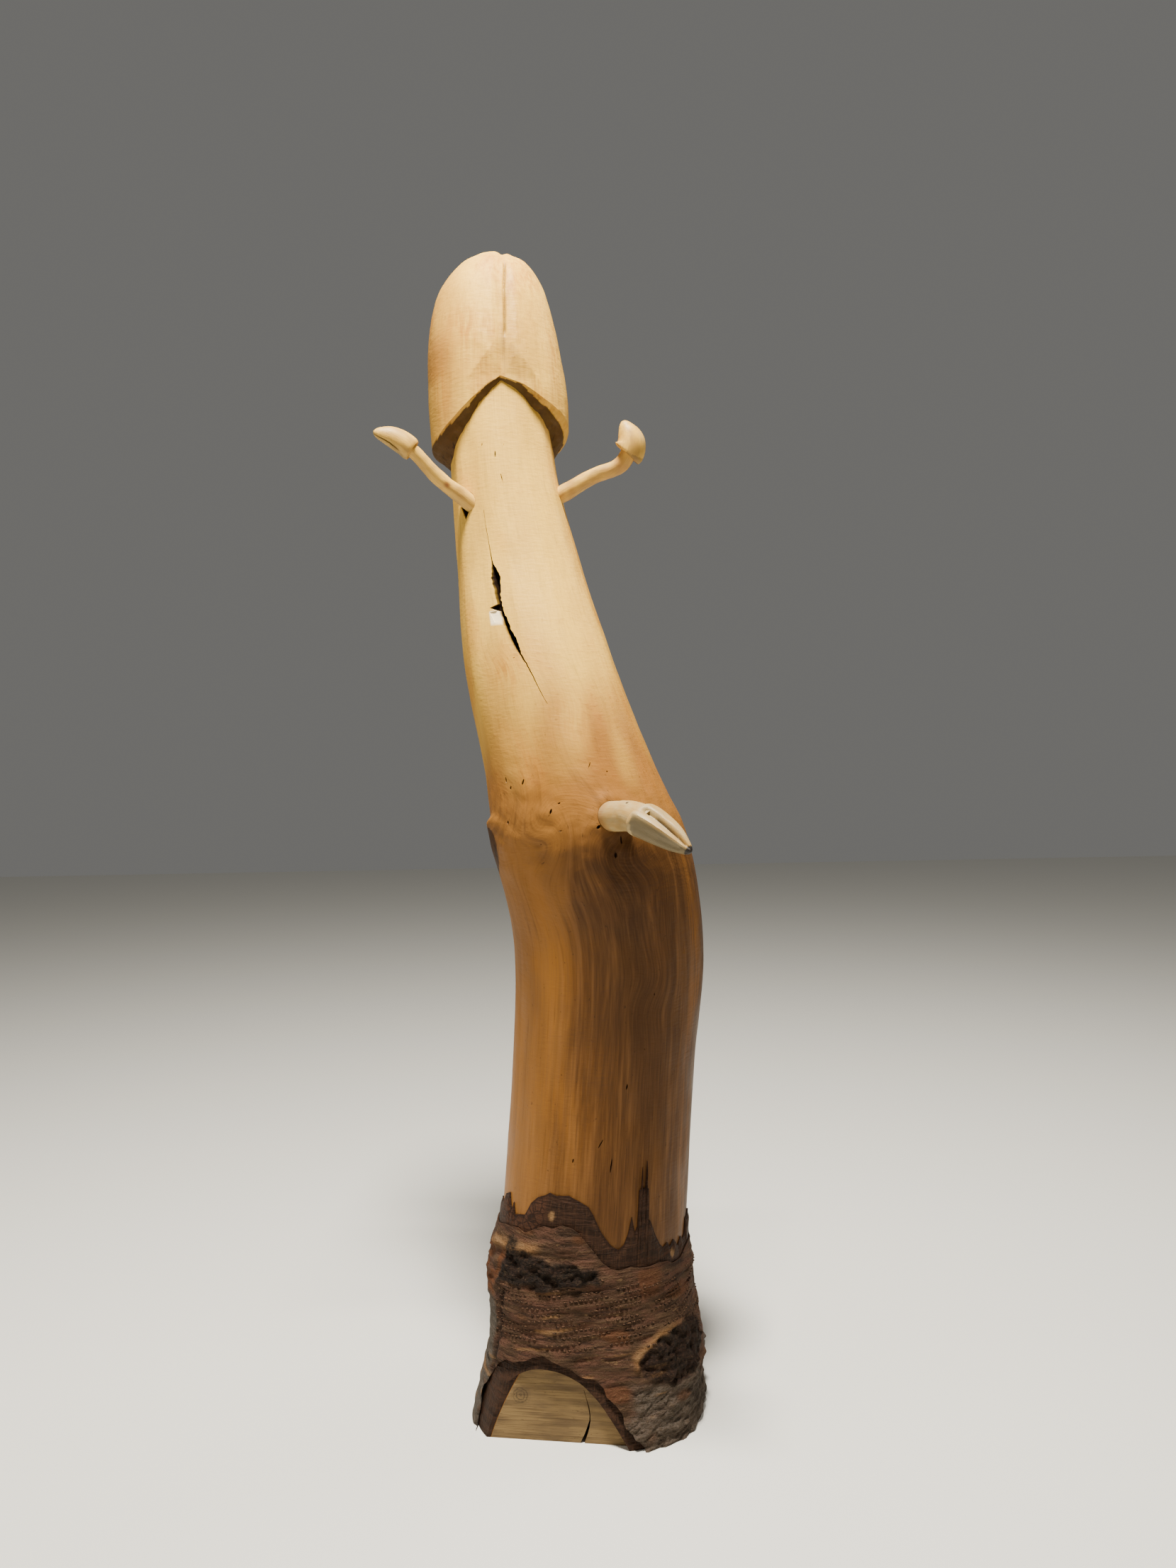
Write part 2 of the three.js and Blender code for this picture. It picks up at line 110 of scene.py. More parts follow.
class LogFigureColours(bpy.types.PropertyGroup):
    """Colours of the wood, the bark and the stage."""

    pale_wood: tint("Pale wood", "E0B24A", "Freshly carved wood near the head")
    tan_wood: tint("Tan wood", "92622A", "Carved wood about the hip")
    # Brown wood also paints shade: the log darker low down and on its right below the hip.
    brown_wood_and_shade: tint("Brown wood", "432910", "Peeled wood above the bark")
    warm_wood: tint("Warm patches", "B0701C", "Orange patches in the wood")
    # Dark patches: weathered streaks and knots, and also painted shade under the head's rim, on its
    # facets, under the knot's lip and where the lower arm's shadow falls.
    dark_wood_and_shade: tint("Dark patches", "2C1807", "Weathered streaks and knots")
    # Hollows: painted shade in cracks, pits, notches, sockets and the knife line down the head.
    hollow_shade: tint("Hollows", "1A0E06", "Cracks, pits and socket walls")
    sawn_wood: tint("Sawn wood", "5A4830", "The flat saw cut at the foot")
    sawn_line: tint("Saw marks", "3E2D18", "Dirt in the saw marks")
    branch_wood: tint("Branch wood", "D4A748", "The peeled branches of the upper arms")
    branch_shade: tint("Branch shade", "8C6430", "Darker grain of the arms")
    grey_branch: tint("Grey branch", "A08048", "The bleached lower arm")
    bark_brown: tint("Bark", "37281C", "Outer bark")
    bark_light: tint("Light bark", "4A3828", "Ridges of the outer bark")
    bark_grey: tint("Grey bark", "3C352C", "Weathered grey bark")
    bark_char: tint("Black bark", "0F0C0A", "Rough black scabs")
    bark_tan: tint("Scraped bark", "7E6040", "Scraped ridges in the bark")
    bark_rust: tint("Rusty bark", "54311A", "Rust-coloured blotches")
    inner_bark: tint("Inner bark", "21140C", "Smooth inner bark")
    inner_light: tint("Inner bark light", "332117", "Paler bands of the inner bark")
    pore: tint("Lenticels", "0E0805", "Corky pores in rows")
    floor: tint("Floor", "E4E2DA", "The stage's floor")


# ---- Small helpers ------------------------------------------------------------------------


def smooth(t):
    """0 below 0, 1 above 1, and a soft step between."""
    t = np.clip(t, 0.0, 1.0)
    return t * t * (3 - 2 * t)


def hump(offset, reach):
    """1 at the middle, fading out over the reach."""
    return np.exp(-((offset / reach) ** 2))


def window(value, low, high, soft):
    """1 between two limits, fading to 0 over a soft distance outside them."""
    return smooth((value - low) / soft + 1) * smooth((high - value) / soft + 1)


def turn_from(centre, angle):
    """The signed angle from one direction round the log to another."""
    return (angle - centre + 540) % 360 - 180


def along_rows(rows, place, column):
    """A value along rows of (place, value, ...), on a smooth curve through them."""
    table = np.array(rows, float)
    x, y = table[:, 0], table[:, column]
    slope = np.empty_like(y)
    slope[1:-1] = (y[2:] - y[:-2]) / (x[2:] - x[:-2])
    slope[0] = (y[1] - y[0]) / (x[1] - x[0])
    slope[-1] = (y[-1] - y[-2]) / (x[-1] - x[-2])
    low = np.clip(np.searchsorted(x, place, side="right") - 1, 0, len(x) - 2)
    span = x[low + 1] - x[low]
    t = np.clip((place - x[low]) / span, 0, 1)
    rise = y[low + 1] - y[low]
    s0, s1 = slope[low] * span, slope[low + 1] * span
    return y[low] + t * (s0 + t * (3 * rise - 2 * s0 - s1 + t * (s0 + s1 - 2 * rise)))


def round_log(points, angle):
    """A value round the log from (angle, value) points, joined by straight lines."""
    return np.interp(angle, *np.array(points, float).T, period=360)


def lattice(points, seed):
    """Soft noise from -1 to 1 on a lattice one unit wide."""
    cell = np.floor(points).astype(np.int64)
    share = points - cell
    share = share * share * (3 - 2 * share)
    total = np.zeros(points.shape[:-1])
    for corner in itertools.product((0, 1), repeat=3):
        c = cell + np.array(corner)
        mix = (c[..., 0] * 73856093) ^ (c[..., 1] * 19349663) ^ (c[..., 2] * 83492791)
        mix = (mix ^ (seed * 2654435761)) & 0xFFFFFFFF
        mix = ((mix ^ (mix >> 15)) * 668265263) & 0xFFFFFFFF
        mix = ((mix ^ (mix >> 13)) * 374761393) & 0xFFFFFFFF
        value = ((mix ^ (mix >> 16)) & 0xFFFFFFFF) / 0x7FFFFFFF - 1
        total += value * np.prod(np.where(corner, share, 1 - share), axis=-1)
    return total


def noise(points, size, seed, octaves=1):
    """Soft noise about from -1 to 1. The size is one lump's width, or one for each axis."""
    place = np.asarray(points) / np.asarray(size, float)
    total = 0
    for octave in range(octaves):
        total = total + lattice(place * 2**octave + 7.3 * octave, seed + octave) / 2**octave
    return 1.5 * total


def unit(vectors):
    """The same directions, each one long."""
    return vectors / np.linalg.norm(vectors, axis=-1, keepdims=True)


# ---- Meshes -------------------------------------------------------------------------------


def closed_skin(name, loops, start=None, end=None):
    """A closed skin over loops of points in millimetres, with a fan of faces at each end."""
    loops = np.asarray(loops, float)
    rows, count = loops.shape[:2]
    start = loops[0].mean(0) if start is None else start
    end = loops[-1].mean(0) if end is None else end
    points = np.vstack([loops.reshape(-1, 3), start, end]) * MM
    row, column = np.meshgrid(np.arange(rows - 1), np.arange(count), indexing="ij")
    a = row * count + column
    b = row * count + (column + 1) % count
    quads = np.stack([a, b, b + count, a + count], -1).reshape(-1, 4)
    j = np.arange(count)
    k = (j + 1) % count
    last = (rows - 1) * count
    fans = np.vstack([
        np.stack([np.full(count, rows * count), k, j], -1),
        np.stack([np.full(count, rows * count + 1), last + j, last + k], -1),
    ])
    return new_piece(name, points, quads.tolist() + fans.tolist())


def ring_wall(name, columns):
    """A closed wall bent into a ring: one closed loop of points for each column."""
    columns = np.asarray(columns, float)
    sides, count = columns.shape[:2]
    row, column = np.meshgrid(np.arange(sides), np.arange(count), indexing="ij")
    a = row * count + column
    b = row * count + (column + 1) % count
    c = ((row + 1) % sides) * count + column
    d = ((row + 1) % sides) * count + (column + 1) % count
    quads = np.stack([a, c, d, b], -1).reshape(-1, 4)
    return new_piece(name, columns.reshape(-1, 3) * MM, quads.tolist())


def new_piece(name, points, faces):
    """An object in the scene, from points in metres and faces."""
    mesh = bpy.data.meshes.new(name)
    mesh.from_pydata(points, [], faces)
    mesh.update()
    piece = bpy.data.objects.new(name, mesh)
    bpy.context.scene.collection.objects.link(piece)
    return piece


def make_plain(piece, result):
    """Gives a piece the plain mesh of its evaluated form and drops its modifiers."""
    old = piece.data
    piece.modifiers.clear()
    piece.data = result
    name = old.name
    bpy.data.meshes.remove(old)
    result.name = name


def carve(piece, cutters, operation="DIFFERENCE"):
    """Cuts shapes out of a piece, or joins them to it, and removes the cutters."""
    for cutter in cutters:
        volume = bmesh.new()
        volume.from_mesh(cutter.data)
        bmesh.ops.recalc_face_normals(volume, faces=volume.faces)
        volume.to_mesh(cutter.data)
        volume.free()
        cut = piece.modifiers.new("cut", "BOOLEAN")
        cut.solver = "MANIFOLD"
        cut.operation = operation
        cut.object = cutter
    seen = piece.evaluated_get(bpy.context.evaluated_depsgraph_get())
    result = bpy.data.meshes.new_from_object(seen)
    if len(result.vertices) == len(piece.data.vertices) or not result.vertices:
        raise RuntimeError(f"nothing was cut from {piece.name}")
    make_plain(piece, result)
    for cutter in cutters:
        bpy.data.meshes.remove(cutter.data)


def points_of(piece):
    """A piece's vertices in millimetres."""
    flat = np.empty(len(piece.data.vertices) * 3)
    piece.data.vertices.foreach_get("co", flat)
    return flat.reshape(-1, 3) / MM


def give(piece, **values):
    """Writes one number, or a vector, for each vertex of a piece."""
    for name, value in values.items():
        value = np.asarray(value, np.float32)
        kind, field = ("FLOAT_VECTOR", "vector") if value.ndim == 2 else ("FLOAT", "value")
        layer = piece.data.attributes.new(name, kind, "POINT")
        layer.data.foreach_set(field, value.ravel())


def finish_piece(piece, body, nodes, materials, crease):
    """Smooth shading with creases, the materials, and the piece's place in the frame."""
    piece.data.shade_smooth()
    piece.data.set_sharp_from_angle(angle=math.radians(crease))
    piece.data.materials.clear()
    for material in materials:
        piece.data.materials.append(material)
    piece.data.validate()
    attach(piece, body)
    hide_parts(*nodes)


# ---- Materials ----------------------------------------------------------------------------


def add(tree, kind, inputs=None, **settings):
    """Adds a node with its settings, and links or sets its inputs."""
    made = tree.nodes.new(kind)
    for name, value in settings.items():
        setattr(made, name, value)
    for name, value in (inputs or {}).items():
        if isinstance(value, bpy.types.NodeSocket):
            tree.links.new(value, made.inputs[name])
        else:
            made.inputs[name].default_value = value
    return made


def start_material(name, **uniform):
    """An empty material with one Principled shader, set by its own sockets."""
    material = bpy.data.materials.new(name)
    material.use_nodes = True
    tree = material.node_tree
    tree.nodes.clear()
    shader = add(tree, "ShaderNodeBsdfPrincipled", {k.replace("_", " "): v for k, v in uniform.items()})
    output = add(tree, "ShaderNodeOutputMaterial")
    tree.links.new(shader.outputs["BSDF"], output.inputs["Surface"])
    return material, tree, shader


def grain_noise(tree, place, millimetres, detail=2.0, turned=(0, 0, 0), rough=0.55):
    """Noise whose lumps are as wide as the millimetres given for each axis."""
    moved = add(tree, "ShaderNodeMapping", {
        "Vector": place, "Rotation": turned, "Scale": [1 / (size * MM) for size in millimetres]})
    return add(tree, "ShaderNodeTexNoise", {
        "Vector": moved.outputs["Vector"], "Scale": 1.0, "Detail": detail,
        "Roughness": rough}).outputs["Fac"]


def product(tree, parts):
    """The product of some parts. Each is a number, a socket or the name of a piece's attribute,
    or a tuple of one and the two limits that it steps softly between, with its ends if not 0, 1."""
    total = None
    for part in parts:
        value, *limits = part if isinstance(part, tuple) else (part,)
        if isinstance(value, str):
            value = add(tree, "ShaderNodeAttribute", attribute_name=value).outputs["Fac"]
        if limits:
            low, high, out_low, out_high = (*limits, 0.0, 1.0)[:4]
            value = add(tree, "ShaderNodeMapRange", {
                "Value": value, "From Min": low, "From Max": high, "To Min": out_low,
                "To Max": out_high}, interpolation_type="SMOOTHSTEP").outputs["Result"]
        total = value if total is None else add(
            tree, "ShaderNodeMath", {0: total, 1: value}, operation="MULTIPLY").outputs[0]
    return total


def coat(tree, base, layers):
    """A base colour with layers over it: each a colour, and the parts of how much it covers."""
    for colour, *parts in layers:
        under, over = (c if isinstance(c, bpy.types.NodeSocket) else (*c[:3], 1.0)
                       for c in (base, colour))
        base = add(tree, "ShaderNodeMix", {"Factor": product(tree, parts), 6: under, 7: over},
                   data_type="RGBA").outputs[2]
    return base


def finish_surface(tree, shader, colour, height, millimetres):
    """Gives a material its colour, and relief that stands so many millimetres high."""
    tree.links.new(colour, shader.inputs["Base Color"])
    bump = add(tree, "ShaderNodeBump", {
        "Height": height, "Distance": millimetres * MM, "Strength": 1.0})
    tree.links.new(bump.outputs["Normal"], shader.inputs["Normal"])


def carved_lime_wood(colours, sizes):
    """Peeled and knife-carved softish hardwood, such as lime: pale and satin where it is freshly
    cut, with cross-grain tool ripples, long fibres, warm patches and dark weathered streaks.
    Its brown lower part and its dark patches are partly painted shade, and its dark hollows
    are painted shade. The ripples and fibres are drawn coarser than real ones, so that they show."""
    material, tree, shader = start_material("carved_lime_wood", Roughness=0.5, Specular_IOR_Level=0.13)
    grain = add(tree, "ShaderNodeAttribute", attribute_name="grain").outputs["Vector"]
    fibres = grain_noise(tree, grain, (1.3, 1.3, 34), 3)
    streaks = grain_noise(tree, grain, (9, 9, 190), 3)
    fine_streaks = grain_noise(tree, grain, (3.2, 3.2, 70), 3)
    clean = grain_noise(tree, grain, (7, 7, 130), 3)
    mottle = grain_noise(tree, grain, (34, 34, 58), 3)
    broad = grain_noise(tree, grain, (60, 60, 90), 2)
    ripples = grain_noise(tree, grain, (9, 9, 2.8), 3, (0.0, 0.3, 0.0))
    specks = grain_noise(tree, grain, (3.4, 3.4, 5.5), 2)
    # The dark patches, stains and painted shade alike, are broken up by the streaks, but stay
    # solid where they are darkest, as the painted shade under the head's rim does.
    broken = add(tree, "ShaderNodeMath", {
        0: product(tree, ["shade", (fine_streaks, 0.3, 0.64, 0.35, 1.0)]),
        1: product(tree, [("shade", 0.62, 0.74, 0.0, 0.9)])}, operation="MAXIMUM").outputs[0]
    base = coat(tree, colours.pale_wood, [
        # Pale to brown: partly the wood's own colour, and partly painted shade low down and on the right
        # below the hip.
        (colours.tan_wood, ("tone", 0.0, 0.5)),
        (colours.brown_wood_and_shade, ("tone", 0.5, 1.0)),
        (colours.warm_wood, "warm", (fine_streaks, 0.34, 0.62, 0.25, 1.0), (mottle, 0.3, 0.6, 0.3, 1.0)),
        (linear("BE7C2E"), (broad, 0.5, 0.7, 0.0, 0.35), ("tone", 0.35, 0.7, 1.0, 0.0)),
        (colours.dark_wood_and_shade, (streaks, 0.5, 0.78, 0.0, 0.42), ("tone", 0.2, 0.8, 0.35, 1.0)),
        (linear("96683A"), (clean, 0.46, 0.74, 0.0, 0.26), ("tone", 0.3, 0.8)),
        (colours.dark_wood_and_shade, (fine_streaks, 0.54, 0.8), ("tone", 0.3, 0.9, 0.18, 0.5)),
        (linear("8A6032"), (fibres, 0.3, 0.75, 0.0, 0.16)),
        # The rasp leaves short dark dashes across the grain, thickest about the hip.
        (linear("8E5A26"), (ripples, 0.56, 0.7), (broad, 0.42, 0.62), ("tone", 0.1, 0.5, 0.26, 0.55),
         ("tone", 0.55, 0.75, 1.0, 0.0)),
        (colours.dark_wood_and_shade, (specks, 0.68, 0.76, 0.0, 0.5), ("tone", 0.15, 0.6, 0.35, 1.0)),
        # Dark stains, and painted shade under the head's rim, on its facets, under the knot's lip and
        # where the lower arm's shadow falls.
        (colours.dark_wood_and_shade, broken),
        # The pale flake: fresh wood's paler colour, and partly painted light on its upward face.
        (linear("F2DDB4"), "flake"),
        # Painted shade in the cracks, pits, notches, sockets and the knife line down the head.
        (colours.hollow_shade, "hollow"),
    ])
    tree.links.new(product(tree, [(mottle, 0.3, 0.7, 0.42, 0.6)]), shader.inputs["Roughness"])
    height = add(tree, "ShaderNodeMath", {0: fibres, 1: 0.45, 2: ripples},
                 operation="MULTIPLY_ADD").outputs[0]
    finish_surface(tree, shader, base, height, 2.0 * sizes.ripple_height / MM)
    return material


def sawn_face_wood(colours):
    """The same log sawn across: dry flat wood with level saw marks, a knot and grey dirt, and
    painted shade in its drying crack.
    """
    material, tree, shader = start_material("sawn_face_wood", Roughness=0.75, Specular_IOR_Level=0.2)
    place = add(tree, "ShaderNodeTexCoord").outputs["Object"]
    marks = grain_noise(tree, place, (40, 40, 1.3), 3)
    broad = grain_noise(tree, place, (45, 45, 7), 3)
    specks = grain_noise(tree, place, (5, 5, 1.2), 2)
    # The knot's rings, 2.6 mm apart and a little wavy, round its middle.
    spread = add(tree, "ShaderNodeVectorMath", {0: place, 1: (-0.060, -0.090, 0.039)},
                 operation="DISTANCE").outputs["Value"]
    wavy = add(tree, "ShaderNodeMath", {0: specks, 1: 0.004, 2: spread},
               operation="MULTIPLY_ADD").outputs[0]
    turns = add(tree, "ShaderNodeMath", {0: wavy, 1: 2400.0}, operation="MULTIPLY").outputs[0]
    rings = add(tree, "ShaderNodeMath", {0: turns}, operation="SINE").outputs[0]
    base = coat(tree, colours.sawn_wood, [
        (linear("7A6340"), (broad, 0.3, 0.7)),
        (colours.sawn_line, (marks, 0.5, 0.72, 0.0, 0.5)),
        (linear("4A3820"), (specks, 0.62, 0.74, 0.0, 0.6)),
        (linear("33281A"), (spread, 0.005, 0.011, 0.75, 0.0), (rings, -0.2, 1.0, 0.35, 1.0)),
        # Painted shade on the walls of the drying crack.
        (colours.hollow_shade, "hollow"),
    ])
    finish_surface(tree, shader, base, marks, 0.5)
    return material


def inner_bark_skin(colours):
    """Smooth fibrous inner bark: dark red-brown, slightly sheeny, with faint level wrinkles."""
    material, tree, shader = start_material("inner_bark_skin", Roughness=0.62, Specular_IOR_Level=0.1)
    grain = add(tree, "ShaderNodeAttribute", attribute_name="grain").outputs["Vector"]
    bands = grain_noise(tree, grain, (38, 38, 5), 3, (0.0, 0.1, 0.0))
    fibres = grain_noise(tree, grain, (1.6, 1.6, 16), 3)
    wrinkles = grain_noise(tree, grain, (9, 9, 1.6), 2)
    plates = add(tree, "ShaderNodeMapping", {"Vector": grain, "Scale": (110.0, 110.0, 150.0)})
    seams = add(tree, "ShaderNodeTexVoronoi", {"Vector": plates.outputs["Vector"], "Scale": 1.0},
                feature="DISTANCE_TO_EDGE").outputs["Distance"]
    base = coat(tree, colours.inner_bark, [
        (colours.inner_light, (bands, 0.38, 0.66)),
        (linear("3C281A"), (fibres, 0.42, 0.66, 0.0, 0.6)),
        (linear("150C07"), (wrinkles, 0.56, 0.7, 0.0, 0.6)),
        (linear("452B1D"), "plated", 0.55),
        (linear("1C100A"), "plated", (seams, 0.02, 0.09, 0.8, 0.0)),
        (linear("1E110B"), "edge"),
        (colours.bark_tan, "tan"),
        (colours.bark_rust, "rust"),
    ])
    height = add(tree, "ShaderNodeMath", {0: fibres, 1: 0.8, 2: wrinkles},
                 operation="MULTIPLY_ADD").outputs[0]
    finish_surface(tree, shader, base, height, 1.3)
    return material


def weathered_outer_bark(colours):
    """Weathered outer bark: matt brown cork in level ridges, with grey, black, scraped and
    rust-coloured areas, and painted shade in its low furrows and its upright split."""
    material, tree, shader = start_material(
        "weathered_outer_bark", Roughness=0.85, Specular_IOR_Level=0.12)
    grain = add(tree, "ShaderNodeAttribute", attribute_name="grain").outputs["Vector"]
    ridges = grain_noise(tree, grain, (26, 26, 3.0), 4, (0.0, 0.12, 0.0))
    blotch = grain_noise(tree, grain, (20, 20, 9), 3)
    crumbs = grain_noise(tree, grain, (2.4, 2.4, 2.0), 3)
    cracks = grain_noise(tree, grain, (22, 22, 2.2), 3, (0.0, 0.13, 0.0))
    flakes = grain_noise(tree, grain, (12, 12, 4.0), 2, (0.0, 0.13, 0.0))
    grey = coat(tree, linear("4E463E"), [(colours.bark_grey, (crumbs, 0.35, 0.65))])
    scraped = coat(tree, linear("7A5836"), [(colours.bark_tan, (ridges, 0.4, 0.6))])
    base = coat(tree, colours.bark_brown, [
        (linear("4A3226"), (blotch, 0.35, 0.65)),
        (colours.bark_light, (ridges, 0.48, 0.68, 0.0, 0.7)),
        (linear("241812"), (ridges, 0.43, 0.33, 0.0, 0.7)),
        (linear("1A110B"), (cracks, 0.62, 0.7, 0.0, 0.85)),
        (linear("6E573C"), (flakes, 0.66, 0.74, 0.0, 0.5)),
        (grey, "grey"),
        (colours.bark_rust, "rust"),
        (scraped, "tan"),
        (colours.bark_char, "char", (crumbs, 0.3, 0.62, 0.97, 0.72)),
        # Painted shade in the low furrows and the upright split.
        (linear("170F0A"), "deep"),
        (linear("8A7458"), (crumbs, 0.6, 0.76, 0.0, 0.16)),
    ])
    height = add(tree, "ShaderNodeMath", {0: crumbs, 1: 0.7, 2: ridges},
                 operation="MULTIPLY_ADD").outputs[0]
    finish_surface(tree, shader, base, height, 3.0)
    return material


def corky_pores(colours):
    """Lenticels: small dark corky lips that stand in level rows on the bark, drawn larger than
    real ones so that they show."""
    material, tree, shader = start_material("corky_pores", Roughness=0.9, Specular_IOR_Level=0.15)
    place = add(tree, "ShaderNodeTexCoord").outputs["Object"]
    grit = grain_noise(tree, place, (1.1, 1.1, 0.9), 2)
    base = coat(tree, colours.pore, [(linear("5B4230"), (grit, 0.35, 0.7))])
    finish_surface(tree, shader, base, grit, 0.4)
    return material


def peeled_branch(name, colours, main, shadow):
    """A peeled and whittled branch: pale, close-grained and silky, with small dark knots, and
    painted shade in its slits and grooves, under its cap's lip and on the cap's shaded side.
    """
    material, tree, shader = start_material(name, Roughness=0.5, Specular_IOR_Level=0.35)
    grain = add(tree, "ShaderNodeAttribute", attribute_name="grain").outputs["Vector"]
    fibres = grain_noise(tree, grain, (0.9, 0.9, 22), 3)
    mottle = grain_noise(tree, grain, (9, 9, 20), 3)
    base = coat(tree, main, [
        (shadow, (mottle, 0.35, 0.7, 0.0, 0.55)),
        (colours.branch_shade, (fibres, 0.48, 0.75, 0.0, 0.35)),
        # Painted shade on the caps' shaded sides, over a faint random mottle.
        (linear("66583A"), "shade"),
        (linear("8A4A22"), "warm"),
        # Painted shade in slits and grooves and under the caps' lips, with a dark tip and a speck.
        (linear("1B130C"), "hollow"),
    ])
    finish_surface(tree, shader, base, fibres, 0.18)
    return material


# ---- The log's shape ----------------------------------------------------------------------

BARK_HEIGHT = 200
HIP_HEIGHT = 530
NECK_HEIGHT = 900
HEAD_LENGTH = 208

# Cross-sections of the bare wood: height, centre x, centre y, width, depth, squareness.
LOG_SECTIONS = [
    (0, 3, 0, 202, 224, 2.7),
    (60, 9.5, 0, 188, 194, 2.8),
    (120, 7, 0, 180, 181, 2.3),
    (BARK_HEIGHT, 12.5, 0, 177, 176, 2),
    (308.9, 21, 3, 176, 172, 2),
    (431, 28, -8, 181, 172, 2),
    (HIP_HEIGHT, 13, -22, 184, 180, 2),
    (604, -6, -20, 162, 164, 2),
    (700.2, -33, -8, 144, 140, 2),
    (800.1, -52, 12, 121, 116, 2),
    (NECK_HEIGHT, -66, 22, 102, 100, 2),
    (NECK_HEIGHT + HEAD_LENGTH, -74, 34, 88, 84, 2),
]

# The log's skin ends inside the head. Its rows are further apart where the bark hides them.
LOG_TOP = 966
LOG_COLUMNS = 224
LOG_STEP, HIDDEN_STEP, HIDDEN_HEIGHT = 2.5, 6, 138

# The root that swells out at the left of the foot: how far, its angle, and its reach both ways.
ROOT_SWELL, ROOT_ANGLE, ROOT_REACH, ROOT_HEIGHT = 9, -46, 32, 105


def radius_of(width, depth, squareness, angle):
    """The radius of a section at an angle: an ellipse at squareness 2, and boxier above it."""
    across = np.abs(np.sin(np.radians(angle))) / (width / 2)
    along = np.abs(np.cos(np.radians(angle))) / (depth / 2)
    return (across**squareness + along**squareness) ** (-1 / squareness)


def around(x, y, height, angle, radius):
    """The point at an angle and radius round a centre."""
    turned = np.radians(angle)
    return np.stack(np.broadcast_arrays(
        x + radius * np.sin(turned), y - radius * np.cos(turned), height), -1)


def log_radius(angle, height):
    """The log's centre at a height, and its radius there at an angle."""
    x, y, width, depth, squareness = (along_rows(LOG_SECTIONS, height, k) for k in range(1, 6))
    root = ROOT_SWELL * hump(turn_from(ROOT_ANGLE, angle), ROOT_REACH) * hump(height, ROOT_HEIGHT)
    return x, y, radius_of(width, depth, squareness, angle) + root


def log_point(angle, height, outwards=0.0):
    """A point on the bare log's smooth skin, or so far out from it."""
    angle, height = np.broadcast_arrays(np.asarray(angle, float), np.asarray(height, float))
    x, y, radius = log_radius(angle, height)
    return around(x, y, height, angle, radius + outwards)


def where_on_log(points):
    """The angle round the log, the height and the distance from its axis of any points."""
    height = points[:, 2]
    x, y, _ = log_radius(np.zeros(len(points)), height)
    dx, dy = points[:, 0] - x, points[:, 1] - y
    return np.degrees(np.arctan2(dx, -dy)), height, np.hypot(dx, dy)


# Knots that the grain swirls round: angle, height, reach, and how far round it is turned.
SWIRLS = [(-72, 545, 34, 1.3), (-46, 566, 26, 1.0), (-22, 553, 24, -0.9), (8, 540, 30, 1.0),
          (-34, 515, 36, 0.6), (34, 520, 30, -0.4), (10, 640, 34, 0.3), (-30, 700, 22, -0.5),
          (26, 395, 26, 0.4), (150, 560, 40, 0.9)]


def straightened(points):
    """Points as they would lie if the log's axis were straight and its knots unwound, in
    metres, for the grain."""
    angle, height, distance = where_on_log(points)
    side = np.radians(angle) * distance
    for at, tall, reach, amount in SWIRLS:
        across, rise = np.radians(turn_from(at, angle)) * distance, height - tall
        turn = amount * hump(np.hypot(across, rise), reach)
        side = side + across * (np.cos(turn) - 1) - rise * np.sin(turn)
        height = height + across * np.sin(turn) + rise * (np.cos(turn) - 1)
    turned = side / np.maximum(distance, 1)
    return np.stack([distance * np.sin(turned), -distance * np.cos(turned), height], -1) * MM


# Long flats that the knife left: middle angle, half width, lowest and highest place.
MAIN_FLATS = [(84, 16, 575, 925), (-74, 13, 590, 930), (40, 12, 640, 900), (8, 13, 700, 940),
              (-38, 12, 640, 900), (62, 10, 330, 560), (-30, 14, 380, 520)]


def tool_flats(angle, height, amount):
    """How far the knife's flats lie below the round of the log."""
    rng = np.random.default_rng(11)
    flats = list(MAIN_FLATS)
    for _ in range(52):
        low = rng.uniform(230, 860)
        flats.append((rng.uniform(-180, 180), rng.uniform(6, 12), low, low + rng.uniform(70, 220)))
    pressed = np.zeros_like(height)
    for middle, half, low, high in flats:
        offset = np.radians(turn_from(middle, angle))
        sunk = 75 * (math.radians(half) ** 2 - offset**2) / 2
        pressed = np.maximum(pressed, amount * sunk * window(height, low, high, 30))
    return pressed


def knot_edge(angle):
    """The height of the upper lip of the old knot at the left of the hip."""
    return 553 - 0.35 * np.abs(turn_from(-70, angle))


def wood_relief(angle, height, flat_amount):
    """How far the carved surface stands out from the smooth form of the log."""
    place = log_point(angle, height)
    relief = -tool_flats(angle, height, flat_amount)
    relief = relief + 0.35 * noise(place, (24, 24, 80), 3) + 0.14 * noise(place, (8, 8, 22), 5)
    hip = hump(height - 545, 45) * hump(turn_from(-12, angle), 75)
    relief = relief + 0.75 * hip * noise(place, (13, 13, 11), 8, 2)
    # The knot at the left: a lip that falls away slowly below and sharply above.
    below = knot_edge(angle) - height
    lip = np.where(below > 0, hump(below, 42), hump(below, 5))
    relief = relief + 5.0 * lip * hump(turn_from(-79, angle), 17)
    # A low collar where the lower arm leaves the hip.
    x, z = place[..., 0] - 31, place[..., 2] - 557
    front = np.abs(turn_from(10, angle)) < 60
    relief = relief + np.where(front, 1.4 * hump(np.hypot(x, z) - 15, 6), 0)
    return relief * smooth((height - 222) / 30)


class OnLog:
    """A place on the log's skin with its outward, sideways and upward directions."""

    def __init__(self, angle, height):
        self.point = log_point(angle, height)
        turned = math.radians(angle)
        self.out = np.array([math.sin(turned), -math.cos(turned), 0.0])
        self.side = np.array([math.cos(turned), math.sin(turned), 0.0])
        self.up = unit(log_point(angle, height + 2) - log_point(angle, height - 2))

    def at(self, out):
        """The point that stands out from the skin, or lies below it."""
        return self.point + out * self.out


